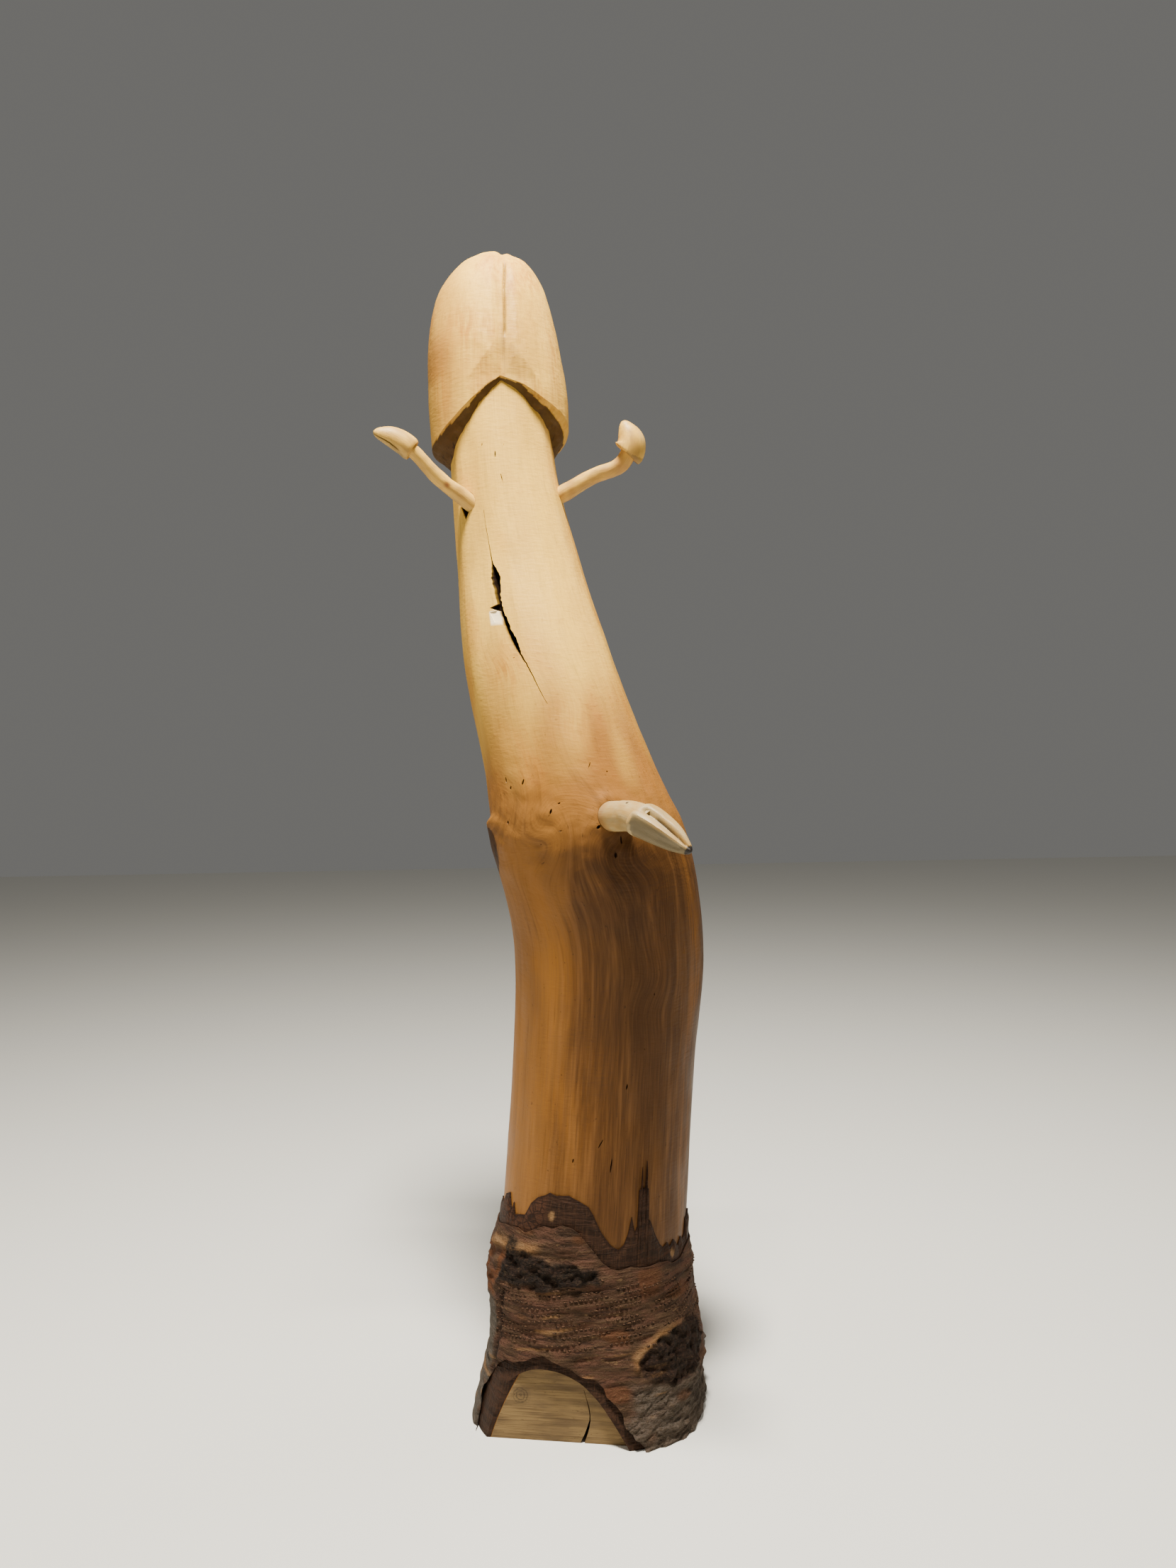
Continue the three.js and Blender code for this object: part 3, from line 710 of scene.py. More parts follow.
# The long crack below the neck: angle, height, share of the full width, share of the depth.
CRACK_PATH = [
    (-25.5, 842, 0.07, 0.15), (-25.1, 814, 0.11, 0.2), (-23.9, 791, 0.2, 0.3),
    (-23.2, 785, 0.8, 0.5), (-22.6, 777, 1.5, 0.6), (-22.2, 769, 1.3, 0.8),
    (-22.6, 760, 0.85, 1.0), (-22.3, 752, 0.75, 1.0), (-21.8, 744, 0.8, 1.0),
    (-19.9, 735, 0.9, 1.0), (-18.3, 726, 0.95, 1.0), (-15.6, 716, 1.0, 1.0),
    (-13.6, 708, 0.75, 0.8), (-12.4, 703, 0.3, 0.4), (-9.4, 694, 0.2, 0.25),
    (-6.7, 681, 0.13, 0.2), (-2.6, 657, 0.07, 0.12),
]


def crack_cutter(sizes):
    """The crack as a wedge that follows the surface, with slightly torn sides."""
    path = np.array(CRACK_PATH)
    steps = np.linspace(0, len(path) - 1, 70)
    rows = [np.interp(steps, np.arange(len(path)), path[:, k]) for k in range(4)]
    rng = np.random.default_rng(5)
    places = [OnLog(angle, height) for angle, height in zip(rows[0], rows[1])]
    loops = []
    for k, place in enumerate(places):
        ahead = places[min(k + 1, len(places) - 1)].point - places[max(k - 1, 0)].point
        across = unit(np.cross(place.out, unit(ahead)))
        wide = rows[2][k] * sizes.crack_width / MM
        left, right = wide / 2 * rng.uniform(0.85, 1.2, 2)
        deep = max(3.0, rows[3][k] * sizes.crack_depth / MM)
        middle = place.point + across * rng.uniform(-0.2, 0.2)
        loops.append([
            middle + 4 * place.out - 1.3 * left * across,
            middle + 4 * place.out + 1.3 * right * across,
            middle - 0.9 * place.out + 0.95 * right * across,
            middle - 0.35 * deep * place.out + 0.7 * right * across,
            middle - deep * place.out + 0.06 * across,
            middle - deep * place.out - 0.06 * across,
            middle - 0.35 * deep * place.out - 0.7 * left * across,
            middle - 0.9 * place.out - 0.95 * left * across,
        ])
    return closed_skin("crack_cutter", loops)


def corner_cutter(name, corners, depth):
    """A shallow three- or four-cornered hole; its corners are (angle, height)."""
    points = np.array([OnLog(angle, height).point for angle, height in corners])
    middle = points.mean(0)
    out = OnLog(*corners[0]).out
    return closed_skin(name, [points + 6 * out, points - 0.4 * out, points - min(1.4, 0.9 * depth) * out,
                              middle + (points - middle) * 0.8 - depth * out])


# A dark notch and a pale flake beside the crack, and a notch under the left arm's root:
# the corners as (angle, height), and the depth.
NOTCHES = [
    ([(-32, 748), (-21, 752), (-21, 742)], 6),
    ([(-32.5, 744), (-23, 745), (-22, 733), (-29, 734)], 1.1),
    ([(-58, 853), (-38, 852), (-49.5, 836)], 10),
]


# Small pits and splits: angle, height, width, length, lean from upright, depth.
PITS = [
    (-47, 590, 2.2, 6.5, 10, 2.0), (-44, 583, 2.4, 5.0, 25, 2.0), (-33, 588, 2.0, 8.0, 30, 1.6),
    (-13, 569, 2.6, 4.5, 60, 2.2), (-19, 562, 2.2, 7.0, 28, 2.6), (-52, 552, 3.0, 4.5, 20, 2.2),
    (-16, 545, 2.0, 5.0, 80, 1.4), (6, 548, 3.0, 5.0, 50, 2.0), (12, 602, 1.4, 9.0, 30, 1.6),
    (22, 596, 1.8, 3.0, 0, 1.6), (12, 523, 3.4, 7.0, 15, 2.6), (17, 536, 2.0, 9.0, 8, 1.8),
    (-6, 895, 1.3, 8.0, 4, 1.4), (-2, 872, 1.2, 11.0, -6, 1.4), (12, 869, 1.4, 9.0, 8, 1.4),
    (4, 904, 1.2, 6.0, 2, 1.3), (-20, 905, 1.2, 5.0, 12, 1.2), (-18, 700, 1.6, 5.0, 60, 1.3),
    (-30, 533, 2.6, 4.0, 40, 1.6), (6, 242, 1.6, 16.0, 4, 1.8), (-1, 262, 1.3, 11.0, 28, 1.5),
    (-17, 246, 2.2, 6.0, 10, 1.6), (27, 395, 1.4, 4.0, 10, 1.4), (13, 312, 2.2, 6.5, 8, 1.8),
    (23, 345, 1.6, 3.5, 20, 1.4), (50, 434, 1.5, 18.0, 6, 1.4), (-68, 812, 1.2, 10.0, 6, 1.2),
    (120, 640, 2.0, 9.0, 12, 1.8), (165, 470, 2.4, 6.0, 20, 2.0), (-140, 720, 1.6, 12.0, 4, 1.6),
    (150, 830, 1.4, 10.0, 10, 1.4), (-110, 420, 2.2, 8.0, 18, 1.8), (95, 350, 2.0, 12.0, 5, 1.6),
]


def pit_cutters():
    """All the small pits as lens shapes, in one mesh."""
    points, faces = [], []
    sides = 8
    for angle, height, width, long, lean, depth in PITS:
        place = OnLog(angle, height)
        tilt = math.radians(lean)
        along = math.cos(tilt) * place.up + math.sin(tilt) * place.side
        across = unit(np.cross(place.out, along))
        start = len(points)
        points.append(place.at(-depth))
        for lift, share in ((-0.35 * depth, 0.72), (2.5, 1.25)):
            for k in range(sides):
                turn = 2 * math.pi * k / sides
                points.append(place.at(lift) + share * (
                    0.5 * width * math.cos(turn) * across + 0.5 * long * math.sin(turn) * along))
        points.append(place.at(2.5))
        for k in range(sides):
            a, b = start + 1 + k, start + 1 + (k + 1) % sides
            faces += [(start, b, a), (a, b, b + sides, a + sides),
                      (start + 1 + 2 * sides, a + sides, b + sides)]
    return new_piece("pit_cutter", np.array(points) * MM, faces)


# ---- The saw cut at the foot ----------------------------------------------------------------

SAW_DISTANCE, SAW_TURN, SAW_LEAN = 98, math.radians(8.7), math.radians(2)
SAW_WIDTH, SAW_HEIGHT = 130, 66
SAW_SHIFT = 0.12 * SAW_DISTANCE  # how far left of the log's middle the cut lies
SAW_REACH = 224  # how far in front of the middle the cutter reaches
SAW_NORMAL = np.array([
    -math.cos(SAW_LEAN) * math.sin(SAW_TURN), -math.cos(SAW_LEAN) * math.cos(SAW_TURN),
    math.sin(SAW_LEAN)])


def arch_outline(margin, ragged=0.0):
    """The arch's outline as (x, height), from its left foot over the top to its right foot."""
    half, height = SAW_WIDTH / 2 + margin, SAW_HEIGHT + margin
    t = np.linspace(0, 1, 40)[:, None]

    def bezier(a, b, c, d):
        a, b, c, d = (np.array(p) for p in (a, b, c, d))
        return (1 - t) ** 3 * a + 3 * (1 - t) ** 2 * t * b + 3 * (1 - t) * t * t * c + t**3 * d

    rise = bezier((-half, 0), (-half, 0.5 * height), (-0.6 * half, height), (-0.2 * half, height))
    fall = bezier((-0.2 * half, height), (0.3 * half, height), (0.6 * half, 0.65 * height), (half, 0))
    outline = np.vstack([rise, fall[1:]])
    place = np.column_stack([outline, np.zeros(len(outline))])
    outline *= 1 + ragged * noise(place, 17, 21, 2)[:, None] / 60
    foot = -margin - 1
    return np.vstack([[-half, foot], outline, [half, foot]])


def saw_block(name, margin, to_plane, ragged=0.0):
    """What lies inside the arch: in front of the saw's plane, or right through to the middle."""
    outline = arch_outline(margin, ragged)
    x = outline[:, 0] - SAW_SHIFT
    z = outline[:, 1]
    plane = (z * math.sin(SAW_LEAN) - SAW_DISTANCE) / math.cos(SAW_LEAN)
    back = plane if to_plane else np.zeros_like(plane)
    loops = []
    for y in (back, np.full_like(back, -SAW_REACH)):
        turned_x = x * math.cos(SAW_TURN) + y * math.sin(SAW_TURN)
        turned_y = -x * math.sin(SAW_TURN) + y * math.cos(SAW_TURN)
        loops.append(np.stack([turned_x, turned_y, z], -1))
    return closed_skin(name, loops)


def saw_crack_cutter():
    """The drying crack in the sawn face: a hairline at the top that opens to the bottom."""
    path = [(-3.2, 47, 0.4), (-1.2, 40, 0.7), (1.0, 32, 1.4), (2.0, 25, 1.2), (1.9, 20, 1.6),
            (0.4, 14, 2.8), (-1.6, 8, 3.4), (-4.6, 1, 4.2), (-5.4, -2, 4.4)]
    along = np.array([math.cos(SAW_TURN), -math.sin(SAW_TURN), 0.0])
    out = np.array([-math.sin(SAW_TURN), -math.cos(SAW_TURN), 0.0])
    loops = []
    for x, z, wide in path:
        on_face = out * (SAW_DISTANCE + 14) + along * x / math.cos(SAW_TURN)
        on_face = on_face + along * SAW_DISTANCE * math.tan(SAW_TURN)
        middle = np.array([on_face[0], on_face[1], z])
        deep = 20 + 6 * wide
        loops.append([middle - wide * 0.6 * along, middle + wide * 0.6 * along,
                      middle - deep * out + 0.1 * along, middle - deep * out - 0.1 * along])
    return closed_skin("saw_crack_cutter", loops)


# ---- The arms' pegs -------------------------------------------------------------------------


def peg_of(node, joint):
    """The middle of the inner end of an arm's peg, and the way that the peg is drawn out."""
    out = unit(np.array(joint["axis"], float))
    points = np.array([v.co for v in frame["nodes"][node].data.vertices]) / MM
    depth = points @ out
    end = points[depth < depth.min() + 0.05]
    return end.mean(0), out


def joint_of(name):
    """The joint of that name."""
    return next(j for j in frame["joints"] if j["name"] == name)


def ring(centre, first, second, radius, sides):
    """A circle of points in the plane of two directions."""
    turn = np.arange(sides) * 2 * math.pi / sides
    return centre + radius * (np.cos(turn)[:, None] * first + np.sin(turn)[:, None] * second)


def socket_cutter(arm, sizes):
    """The round hole that an arm's peg slides in."""
    end, out = peg_of(arm["node"], joint_of(arm["joint"]))
    first = unit(np.cross(out, [0.0, 0.0, 1.0]))
    second = np.cross(out, first)
    radius = arm["peg_radius"] + sizes.socket_clearance / MM
    low = end - out * sizes.peg_room / MM
    high = end + out * (arm["peg_depth"] + 3 * arm["peg_radius"])
    return closed_skin("socket_cutter", [
        ring(low, first, second, radius, 48), ring(high, first, second, radius, 48)])


# ---- The head -------------------------------------------------------------------------------

# Cross-sections of the head, measured up from the neck: height, centre x, width, depth.
HEAD_SECTIONS = [
    (0, -69, 133, 120), (58.2, -70.5, 137, 120), (101.9, -73.5, 132, 116),
    (143.5, -75, 119, 102), (170.6, -74.5, 101, 86), (193.4, -72.5, 69, 58),
    (203.8, -72, 37, 30),
]

# The rim's lower edge above the neck, and how far its underside drops on its way in.
RIM_EDGE = [
    (-180, 6), (-110, 8), (-66, 15), (-40, 32), (-20, 49), (6, 67),
    (28, 60), (45, 50), (78, 36), (120, 18),
]
RIM_UNDERCUT = [(-180, 16), (-90, 20), (-45, 13), (6, 5), (45, 14), (90, 22)]

HEAD_CENTRE_Y = 31
GROOVE_X = -62


def peak_facets(height):
    """How far below their top the two facets at the rim's peak are, and their half width there."""
    below = np.clip((1004 - height) / 36, 0, 1)
    return below, 6 + 27 * below


def head_point(angle, height, sizes):
    """The head's carved surface."""
    up = height - NECK_HEIGHT
    capped = np.minimum(up, HEAD_SECTIONS[-1][0])
    x, width, depth = (along_rows(HEAD_SECTIONS, capped, k) for k in (1, 2, 3))
    left = np.clip((HEAD_LENGTH - up) / (HEAD_LENGTH - HEAD_SECTIONS[-1][0]), 0, 1) ** 0.5
    radius = radius_of(width * left, depth * left, 2.1, angle)
    point = around(x, HEAD_CENTRE_Y + 0.01 * up, height, angle, radius)
    middle = np.array([-72, 35, NECK_HEIGHT + HEAD_LENGTH / 2])
    inwards = unit(middle - point)
    in_front = smooth((43 - point[..., 1]) / 20)
    across = point[..., 0] - GROOVE_X
    valley = sizes.groove_depth / MM * hump(across, sizes.groove_width / MM)
    valley = valley * (0.62 + 0.38 * smooth((1010 - height) / 30))
    # A sharp knife line down the right of the valley.
    line_x = across - 1.6 - 0.7 * noise(point * [0, 0, 1], 22, 4)
    line = 1.5 * hump(line_x, 1.1) * window(height, 1014, 1084, 8)
    # Two facets cut the rim back on both sides of its peak.
    below, half_width = peak_facets(height)
    facets = 5.0 * below**0.7 * np.clip(1 - np.abs(across + 1) / half_width, 0, 1)
    rng = np.random.default_rng(23)
    flats = np.zeros_like(radius)
    for _ in range(38):
        at, tall = rng.uniform(-180, 180), rng.uniform(925, 1070)
        half, long = rng.uniform(8, 15), rng.uniform(24, 60)
        offset = np.radians(turn_from(at, angle))
        sunk = 58 * (math.radians(half) ** 2 - offset**2) / 2
        flats = np.maximum(flats, sizes.flat_depth * 0.8 * sunk * window(
            height, tall - long, tall + long, 18))
    uneven = 0.25 * noise(point, (15, 15, 34), 9) + 0.1 * noise(point, 5, 12)
    press = in_front * np.maximum(valley, facets) + in_front * line + flats - uneven
    fade = smooth((HEAD_LENGTH - up) / 14)
    notch = 2.6 * in_front * hump(across + 2, 4) * smooth((up - 165) / 25)
    press = np.maximum(press * fade, notch)
    return point + inwards * press[..., None]


def head_angles():
    """Columns round the head, closer together over the front."""
    front = np.arange(-40, 42, 0.8)
    rest = np.arange(42, 320, 2.2)
    return np.concatenate([front, rest])


def carve_head(sizes):
    """The head as one closed skin: in under the rim, out to its edge and over the dome."""
    angles = head_angles()
    rim = NECK_HEIGHT + round_log(RIM_EDGE, angles)
    inner_height = rim - round_log(RIM_UNDERCUT, angles)
    inner = log_point(angles, inner_height, -6)
    edge = head_point(angles, rim, sizes)
    loops = []
    # Out along the underside, in coarse chisel cuts.
    for share in np.linspace(0, 0.97, 18):
        loop = inner + (edge - inner) * share
        cuts = noise(loop, (13, 13, 7), 31, 2) + 0.6 * noise(loop, (5, 5, 5), 33)
        loop[:, 2] += 1.2 * cuts * math.sin(math.pi * share) ** 0.6 + 0.8 * smooth((share - 0.8) / 0.2)
        loops.append(loop)
    rows = 118
    for row in range(rows + 1):
        share = math.sin((row / rows) * (math.pi / 2)) * 0.9995
        height = rim + (NECK_HEIGHT + HEAD_LENGTH - rim) * (0.004 + 0.996 * share)
        loops.append(head_point(angles, height, sizes))
    crown = np.array([-72, HEAD_CENTRE_Y + 2, NECK_HEIGHT + HEAD_LENGTH - 0.6])
    start = np.array([-66, 22, NECK_HEIGHT + 32])
    return closed_skin("log_head", loops, start, crown)


# ---- Bark -----------------------------------------------------------------------------------

# The ragged top edges, as (angle, height).
INNER_EDGE = [
    (-180, 188), (-165, 196), (-150, 204), (-138, 192), (-125, 186), (-112, 190), (-100, 180),
    (-88, 188), (-80, 186), (-76.7, 190.5), (-72, 199), (-66, 203), (-63, 193), (-61, 188),
    (-59.5, 197), (-57, 187), (-52.3, 189), (-47, 191), (-43, 203), (-38, 210), (-33, 213),
    (-30, 216), (-26, 214), (-17.8, 215.5), (-10, 210), (-5.8, 206.5), (-2.5, 199), (-0.9, 193.7),
    (2.5, 184), (5.5, 177.6), (9, 171), (13.3, 167.3), (16, 171), (18.3, 180), (20.2, 195.3),
    (21.4, 187), (22.7, 181), (23.9, 186), (24.3, 217.9), (25.5, 218.5), (25.8, 238), (26.1, 219),
    (28.3, 219), (28.7, 243), (29.1, 219), (30.4, 218), (30.8, 189), (32.6, 188.7), (36, 176),
    (40, 165), (43, 160), (47, 163), (49, 158), (53, 163), (58.2, 153.5), (62, 161), (65, 156),
    (69.7, 158.7), (71.5, 174), (74, 168), (78, 178), (86, 172), (95, 166), (105, 178),
    (115, 184), (128, 178), (140, 174), (150, 188), (160, 196), (170, 185),
]
OUTER_EDGE = [
    (-180, 168), (-160, 176), (-130, 172), (-105, 164), (-77, 169), (-64, 175), (-56, 177),
    (-50, 179), (-44, 177), (-38, 182), (-31, 187), (-26, 186), (-20, 190), (-14, 188),
    (-10, 184), (-5, 175), (0, 166), (4, 158), (9, 152), (14, 150), (20, 152), (25, 150),
    (32, 149), (38, 150), (45, 148), (50, 144), (58, 144), (64, 148), (72, 151), (80, 150),
    (90, 147), (100, 150), (120, 154), (140, 160), (160, 170),
]


def bark_columns(edge, step, fine=()):
    """Angles for the columns of a layer of bark: even steps, and the edge's own corners."""
    angles = list(np.arange(-180, 180, step)) + [a for a, _ in edge]
    for low, high, small in fine:
        angles += list(np.arange(low, high, small))
    angles = np.unique(np.round(angles, 2))
    keep = np.concatenate([[True], np.diff(angles) > 0.12])
    return angles[keep]


def sloped(place):
    """Places with the bark's rows made level: they rise gently to the right."""
    return np.stack([place[..., 0], place[..., 1], place[..., 2] - 0.13 * place[..., 0]], -1)


def bark_areas(angle, height):
    """Where the outer bark is black, grey, scraped, rusty or swollen, from 0 to 1."""
    place = log_point(angle, height)
    torn = 5 * noise(place, 16, 41, 2)
    ragged_angle = angle + 0.6 * torn
    ragged = height + 0.6 * torn
    scab = window(ragged_angle, -53, 1, 5) * window(
        ragged, 137 + 0.12 * (angle + 25), 160 - 0.3 * (angle + 25), 4)
    right, up = turn_from(43, angle) / 25, (height - 72) / 25
    lean = right * 0.25
    burr_distance = np.hypot(right, up - lean) + 0.05 * torn / 3
    burr = smooth((1.0 - burr_distance) / 0.16)
    burr_lip = hump(burr_distance - 1.0, 0.1) * smooth((0.5 - right) / 1.0) * smooth((up + 0.5) / 0.5)
    flaky = window(ragged_angle, 20, 100, 8) * smooth((60 - ragged) / 12) * (1 - burr)
    grey = window(ragged_angle, -112, -58, 6) * smooth((128 - ragged) / 18)
    ridge_height = 163 + 0.22 * (angle + 52)
    ridge = hump(height - ridge_height, 4.5) * window(angle, -70, -36, 8)
    blister = hump(turn_from(-70, angle), 15) * hump(height - 136, 24)
    rust = np.maximum(
        window(ragged_angle, -80, -60, 8) * window(ragged, 116, 152, 8) * (noise(place, 10, 44) > -0.1),
        0.55 * smooth((noise(place, (26, 26, 12), 47) - 0.55) / 0.4))
    tan = np.maximum.reduce([
        0.7 * ridge, 0.65 * burr_lip,
        0.55 * smooth((noise(sloped(place), (30, 30, 4), 49) - 0.95) / 0.3) * (height < 135),
    ])
    return {"char": np.maximum(scab, 0.92 * burr), "scab": scab, "burr": burr, "lip": burr_lip,
            "flaky": flaky, "grey": np.maximum(grey, 0.75 * flaky), "tan": tan, "ridge": ridge,
            "blister": blister, "rust": rust * (1 - scab) * (1 - burr)}


def fissure(angle, height, reach):
    """The upright split at the left of the bark, from 1 at its middle to 0."""
    return hump(turn_from(-54 + 0.05 * (height - 60), angle), reach) * window(height, -5, 118, 14)


def bark_height(angle, height, amount):
    """How far the outer bark's ridges, flakes, scabs and burr stand out."""
    place = log_point(angle, height)
    level = sloped(place)
    area = bark_areas(angle, height)
    ridges = noise(level, (24, 24, 4.2), 51, 2)
    relief = amount * (0.75 * ridges + 0.8 * noise(place, (26, 26, 18), 53))
    flakes = noise(np.stack([place[..., 0] + place[..., 2], place[..., 1],
                             2.6 * (place[..., 2] - 0.6 * place[..., 0])], -1), (15, 15, 11), 55, 2)
    relief += area["flaky"] * 1.7 * amount * np.abs(flakes)
    relief += area["scab"] * amount * (1.3 + 1.8 * noise(place, (6, 6, 5), 57, 2))
    relief += area["burr"] * amount * (0.8 + 2.2 * noise(place, (5, 5, 9), 59, 2))
    relief += 2.6 * area["lip"] + 2.4 * area["ridge"]
    relief += area["blister"] * (4.6 + 2.2 * noise(place, 9, 61, 2))
    burr_swell = 4 * hump(turn_from(42, angle), 22) * hump(height - 70, 34)
    ring_swell = 4 * hump(turn_from(-40, angle), 42) * hump(height - 122, 20)
    return relief + burr_swell + ring_swell - 3.0 * fissure(angle, height, 1.6)


def bark_layers(sizes):
    """The gap under each layer of bark, the inner bark and the outer bark, in millimetres."""
    return [s / MM for s in (sizes.bark_gap, sizes.inner_thickness, sizes.outer_thickness)]


def bark_shell(name, angles, edge, inner, outer, rows):
    """A closed layer of bark between two distances from the wood, up to a ragged edge."""
    top = round_log(edge, angles)
    share = np.linspace(0, 1, rows)
    heights = share[:, None] * top[None, :]
    angle_grid = np.broadcast_to(angles, heights.shape)
    out_points = log_point(angle_grid, heights, outer(angle_grid, heights, top))
    coarse = heights[::-4]
    in_points = log_point(angle_grid[::-4], coarse, inner)
    lowest = log_point(angles, np.zeros_like(top), inner)[None]
    if coarse[-1, 0] > 0.01:
        in_points = np.concatenate([in_points, lowest])
    profile = np.concatenate([out_points, in_points])
    return ring_wall(name, np.swapaxes(profile, 0, 1))


# ---- The arms -------------------------------------------------------------------------------

# Each arm's root, the points that its branch runs through from there, and its rings: share of
# the way along, half width, half thickness, and how far the ring is drawn towards the tip.
ARMS = [
    {
        "name": "arm_left", "node": "left_arm", "joint": "left_arm_peg",
        "root": (-100, -21, 855),
        "reach": [(-25, -13, 18.5), (-46, -24, 40), (-62, -30, 50), (-79.5, -37, 54)],
        "faces": (0, -1, 0.4), "peg_radius": 8, "peg_depth": 36,
        "stick": [(0.1, 7.6, 7.6, 0), (0.25, 6.9, 6.9, 0), (0.45, 6.6, 6.6, 0),
                  (0.6, 6.3, 6.3, 0), (0.72, 6.0, 6.0, 1)],
        "cap": [(0.625, 10.4, 8.8, 2), (0.66, 11, 9.5, 2), (0.76, 11, 9.4, 0),
                (0.87, 9, 7.8, 0), (0.95, 5.8, 5, 0)],
    },
    {
        "name": "arm_right", "node": "right_arm", "joint": "right_arm_peg",
        "root": (-11, 8, 864),
        "reach": [(35, -11, 16.3), (56, -18, 22.5), (64, -22, 31), (67.5, -25, 43), (61, -28, 63)],
        "faces": (-1, -0.3, 0.2), "peg_radius": 8, "peg_depth": 36,
        "stick": [(0.1, 7.8, 7.8, 0), (0.25, 7.4, 7.4, 0), (0.45, 7.3, 7.3, 0),
                  (0.6, 7.6, 7.6, 0), (0.78, 7.2, 7.2, 2)],
        "cap": [(0.7, 12.5, 14, 3.5), (0.73, 13, 14.8, 3.5), (0.81, 12.2, 13.4, 1),
                (0.9, 9.4, 9.8, 0), (0.96, 5.8, 6, 0)],
    },
    {
        "name": "arm_lower", "node": "lower_arm", "joint": "lower_arm_peg",
        "root": (31, -107, 557),
        "reach": [(14.6, -30, 1), (25, -50, -2), (40, -64, -11), (60.5, -81, -27)],
        "faces": (0.1, -0.4, 1), "peg_radius": 13.5, "peg_depth": 46,
        "stick": [(0.1, 13.4, 13.4, 0), (0.3, 13.2, 13.2, 0), (0.44, 13.2, 13, 0),
                  (0.56, 12.4, 12, 2)],
        "cap": [(0.48, 17, 14.8, 4), (0.53, 17.4, 15, 3), (0.68, 15.8, 13.2, 0),
                (0.83, 11.8, 10, 0), (0.94, 6.4, 5.8, 0)],
    },
]


class Branch:
    """The bent centreline of an arm, walked by its share of the length."""

    def __init__(self, arm):
        root = np.array(arm["root"], float)
        knots = np.vstack([root, root + np.array(arm["reach"], float)])
        before, after = 2 * knots[0] - knots[1], 2 * knots[-1] - knots[-2]
        through = np.vstack([before, knots, after])
        points = []
        for k in range(len(knots) - 1):
            p = through[k : k + 4]
            gaps = np.linalg.norm(np.diff(p, axis=0), axis=1) ** 0.5
            t = np.concatenate([[0], np.cumsum(gaps)])
            s = np.linspace(t[1], t[2], 60, endpoint=k == len(knots) - 2)[:, None]

            def mix(i, j, a, b):
                return ((t[j] - s) * a + (s - t[i]) * b) / (t[j] - t[i])

            a1, a2, a3 = (mix(i, i + 1, p[i], p[i + 1]) for i in range(3))
            b1, b2 = mix(0, 2, a1, a2), mix(1, 3, a2, a3)
            points.append(mix(1, 2, b1, b2))
        self.points = np.vstack(points)
        steps = np.linalg.norm(np.diff(self.points, axis=0), axis=1)
        self.walked = np.concatenate([[0], np.cumsum(steps)]) / steps.sum()
        self.length = steps.sum()
        self.faces = unit(np.array(arm["faces"], float))

    def at(self, share):
        """The point at a share of the length."""
        return np.array([np.interp(share, self.walked, self.points[:, k]) for k in range(3)])

    def frame_at(self, share):
        """The point at a share of the length, the way along, across and over the branch."""
        low, high = max(share - 0.01, 0.0), min(share + 0.01, 1.0)
        tangent = unit(self.at(high) - self.at(low))
        across = unit(np.cross(self.faces, tangent))
        return self.at(share), tangent, across, np.cross(tangent, across)


LIMB_SIDES = 72
TURNS = np.arange(LIMB_SIDES) * 360 / LIMB_SIDES


def limb_ring(branch, share, half_width, half_thickness, drawn, press=0.0):
    """One ring of an arm. The press moves each point in, for hollows and grooves."""
    centre, tangent, across, over = branch.frame_at(share)
    turn = np.radians(TURNS)[:, None]
    wide = half_width * np.cos(turn) * across
    thick = half_thickness * np.sin(turn) * over
    spoke = wide + thick
    spoke = spoke * (1 - np.broadcast_to(press, TURNS.shape)[:, None] / np.linalg.norm(
        spoke, axis=1, keepdims=True))
    return centre + spoke + drawn * np.sin(turn) * tangent


def cap_press(name, share):
    """How far the caps' carved hollows, facets and grooves lie in, round one ring."""
    def near(turn, reach):
        return hump(turn_from(turn, TURNS), reach)

    along = np.clip((share - 0.45) / 0.55, 0, 1)
    if name == "arm_left":
        slit = 1.9 * near(16, 5) * smooth((share - 0.7) / 0.08)
        lower = 1.1 * near(-12, 26) * smooth((share - 0.66) / 0.06)
        return slit + lower
    if name == "arm_right":
        hollow = 1.2 * near(95, 34) * hump(share - 0.86, 0.09)
        bulge = -1.8 * near(-75, 40) * hump(share - 0.83, 0.1)
        return hollow + bulge
    groove = 6.5 * near(108, 9 + 6 * along) * window(share, 0.56, 0.955, 0.05)
    ridge = -1.6 * near(140, 8) * window(share, 0.5, 0.93, 0.05)
    side = 2.4 * near(182, 26) * window(share, 0.55, 0.9, 0.05)
    rim = -1.2 * near(182, 40) * hump(share - 0.49, 0.03)
    upper = 1.2 * near(70, 18) * window(share, 0.52, 0.7, 0.08)
    return groove + ridge + side + rim + upper


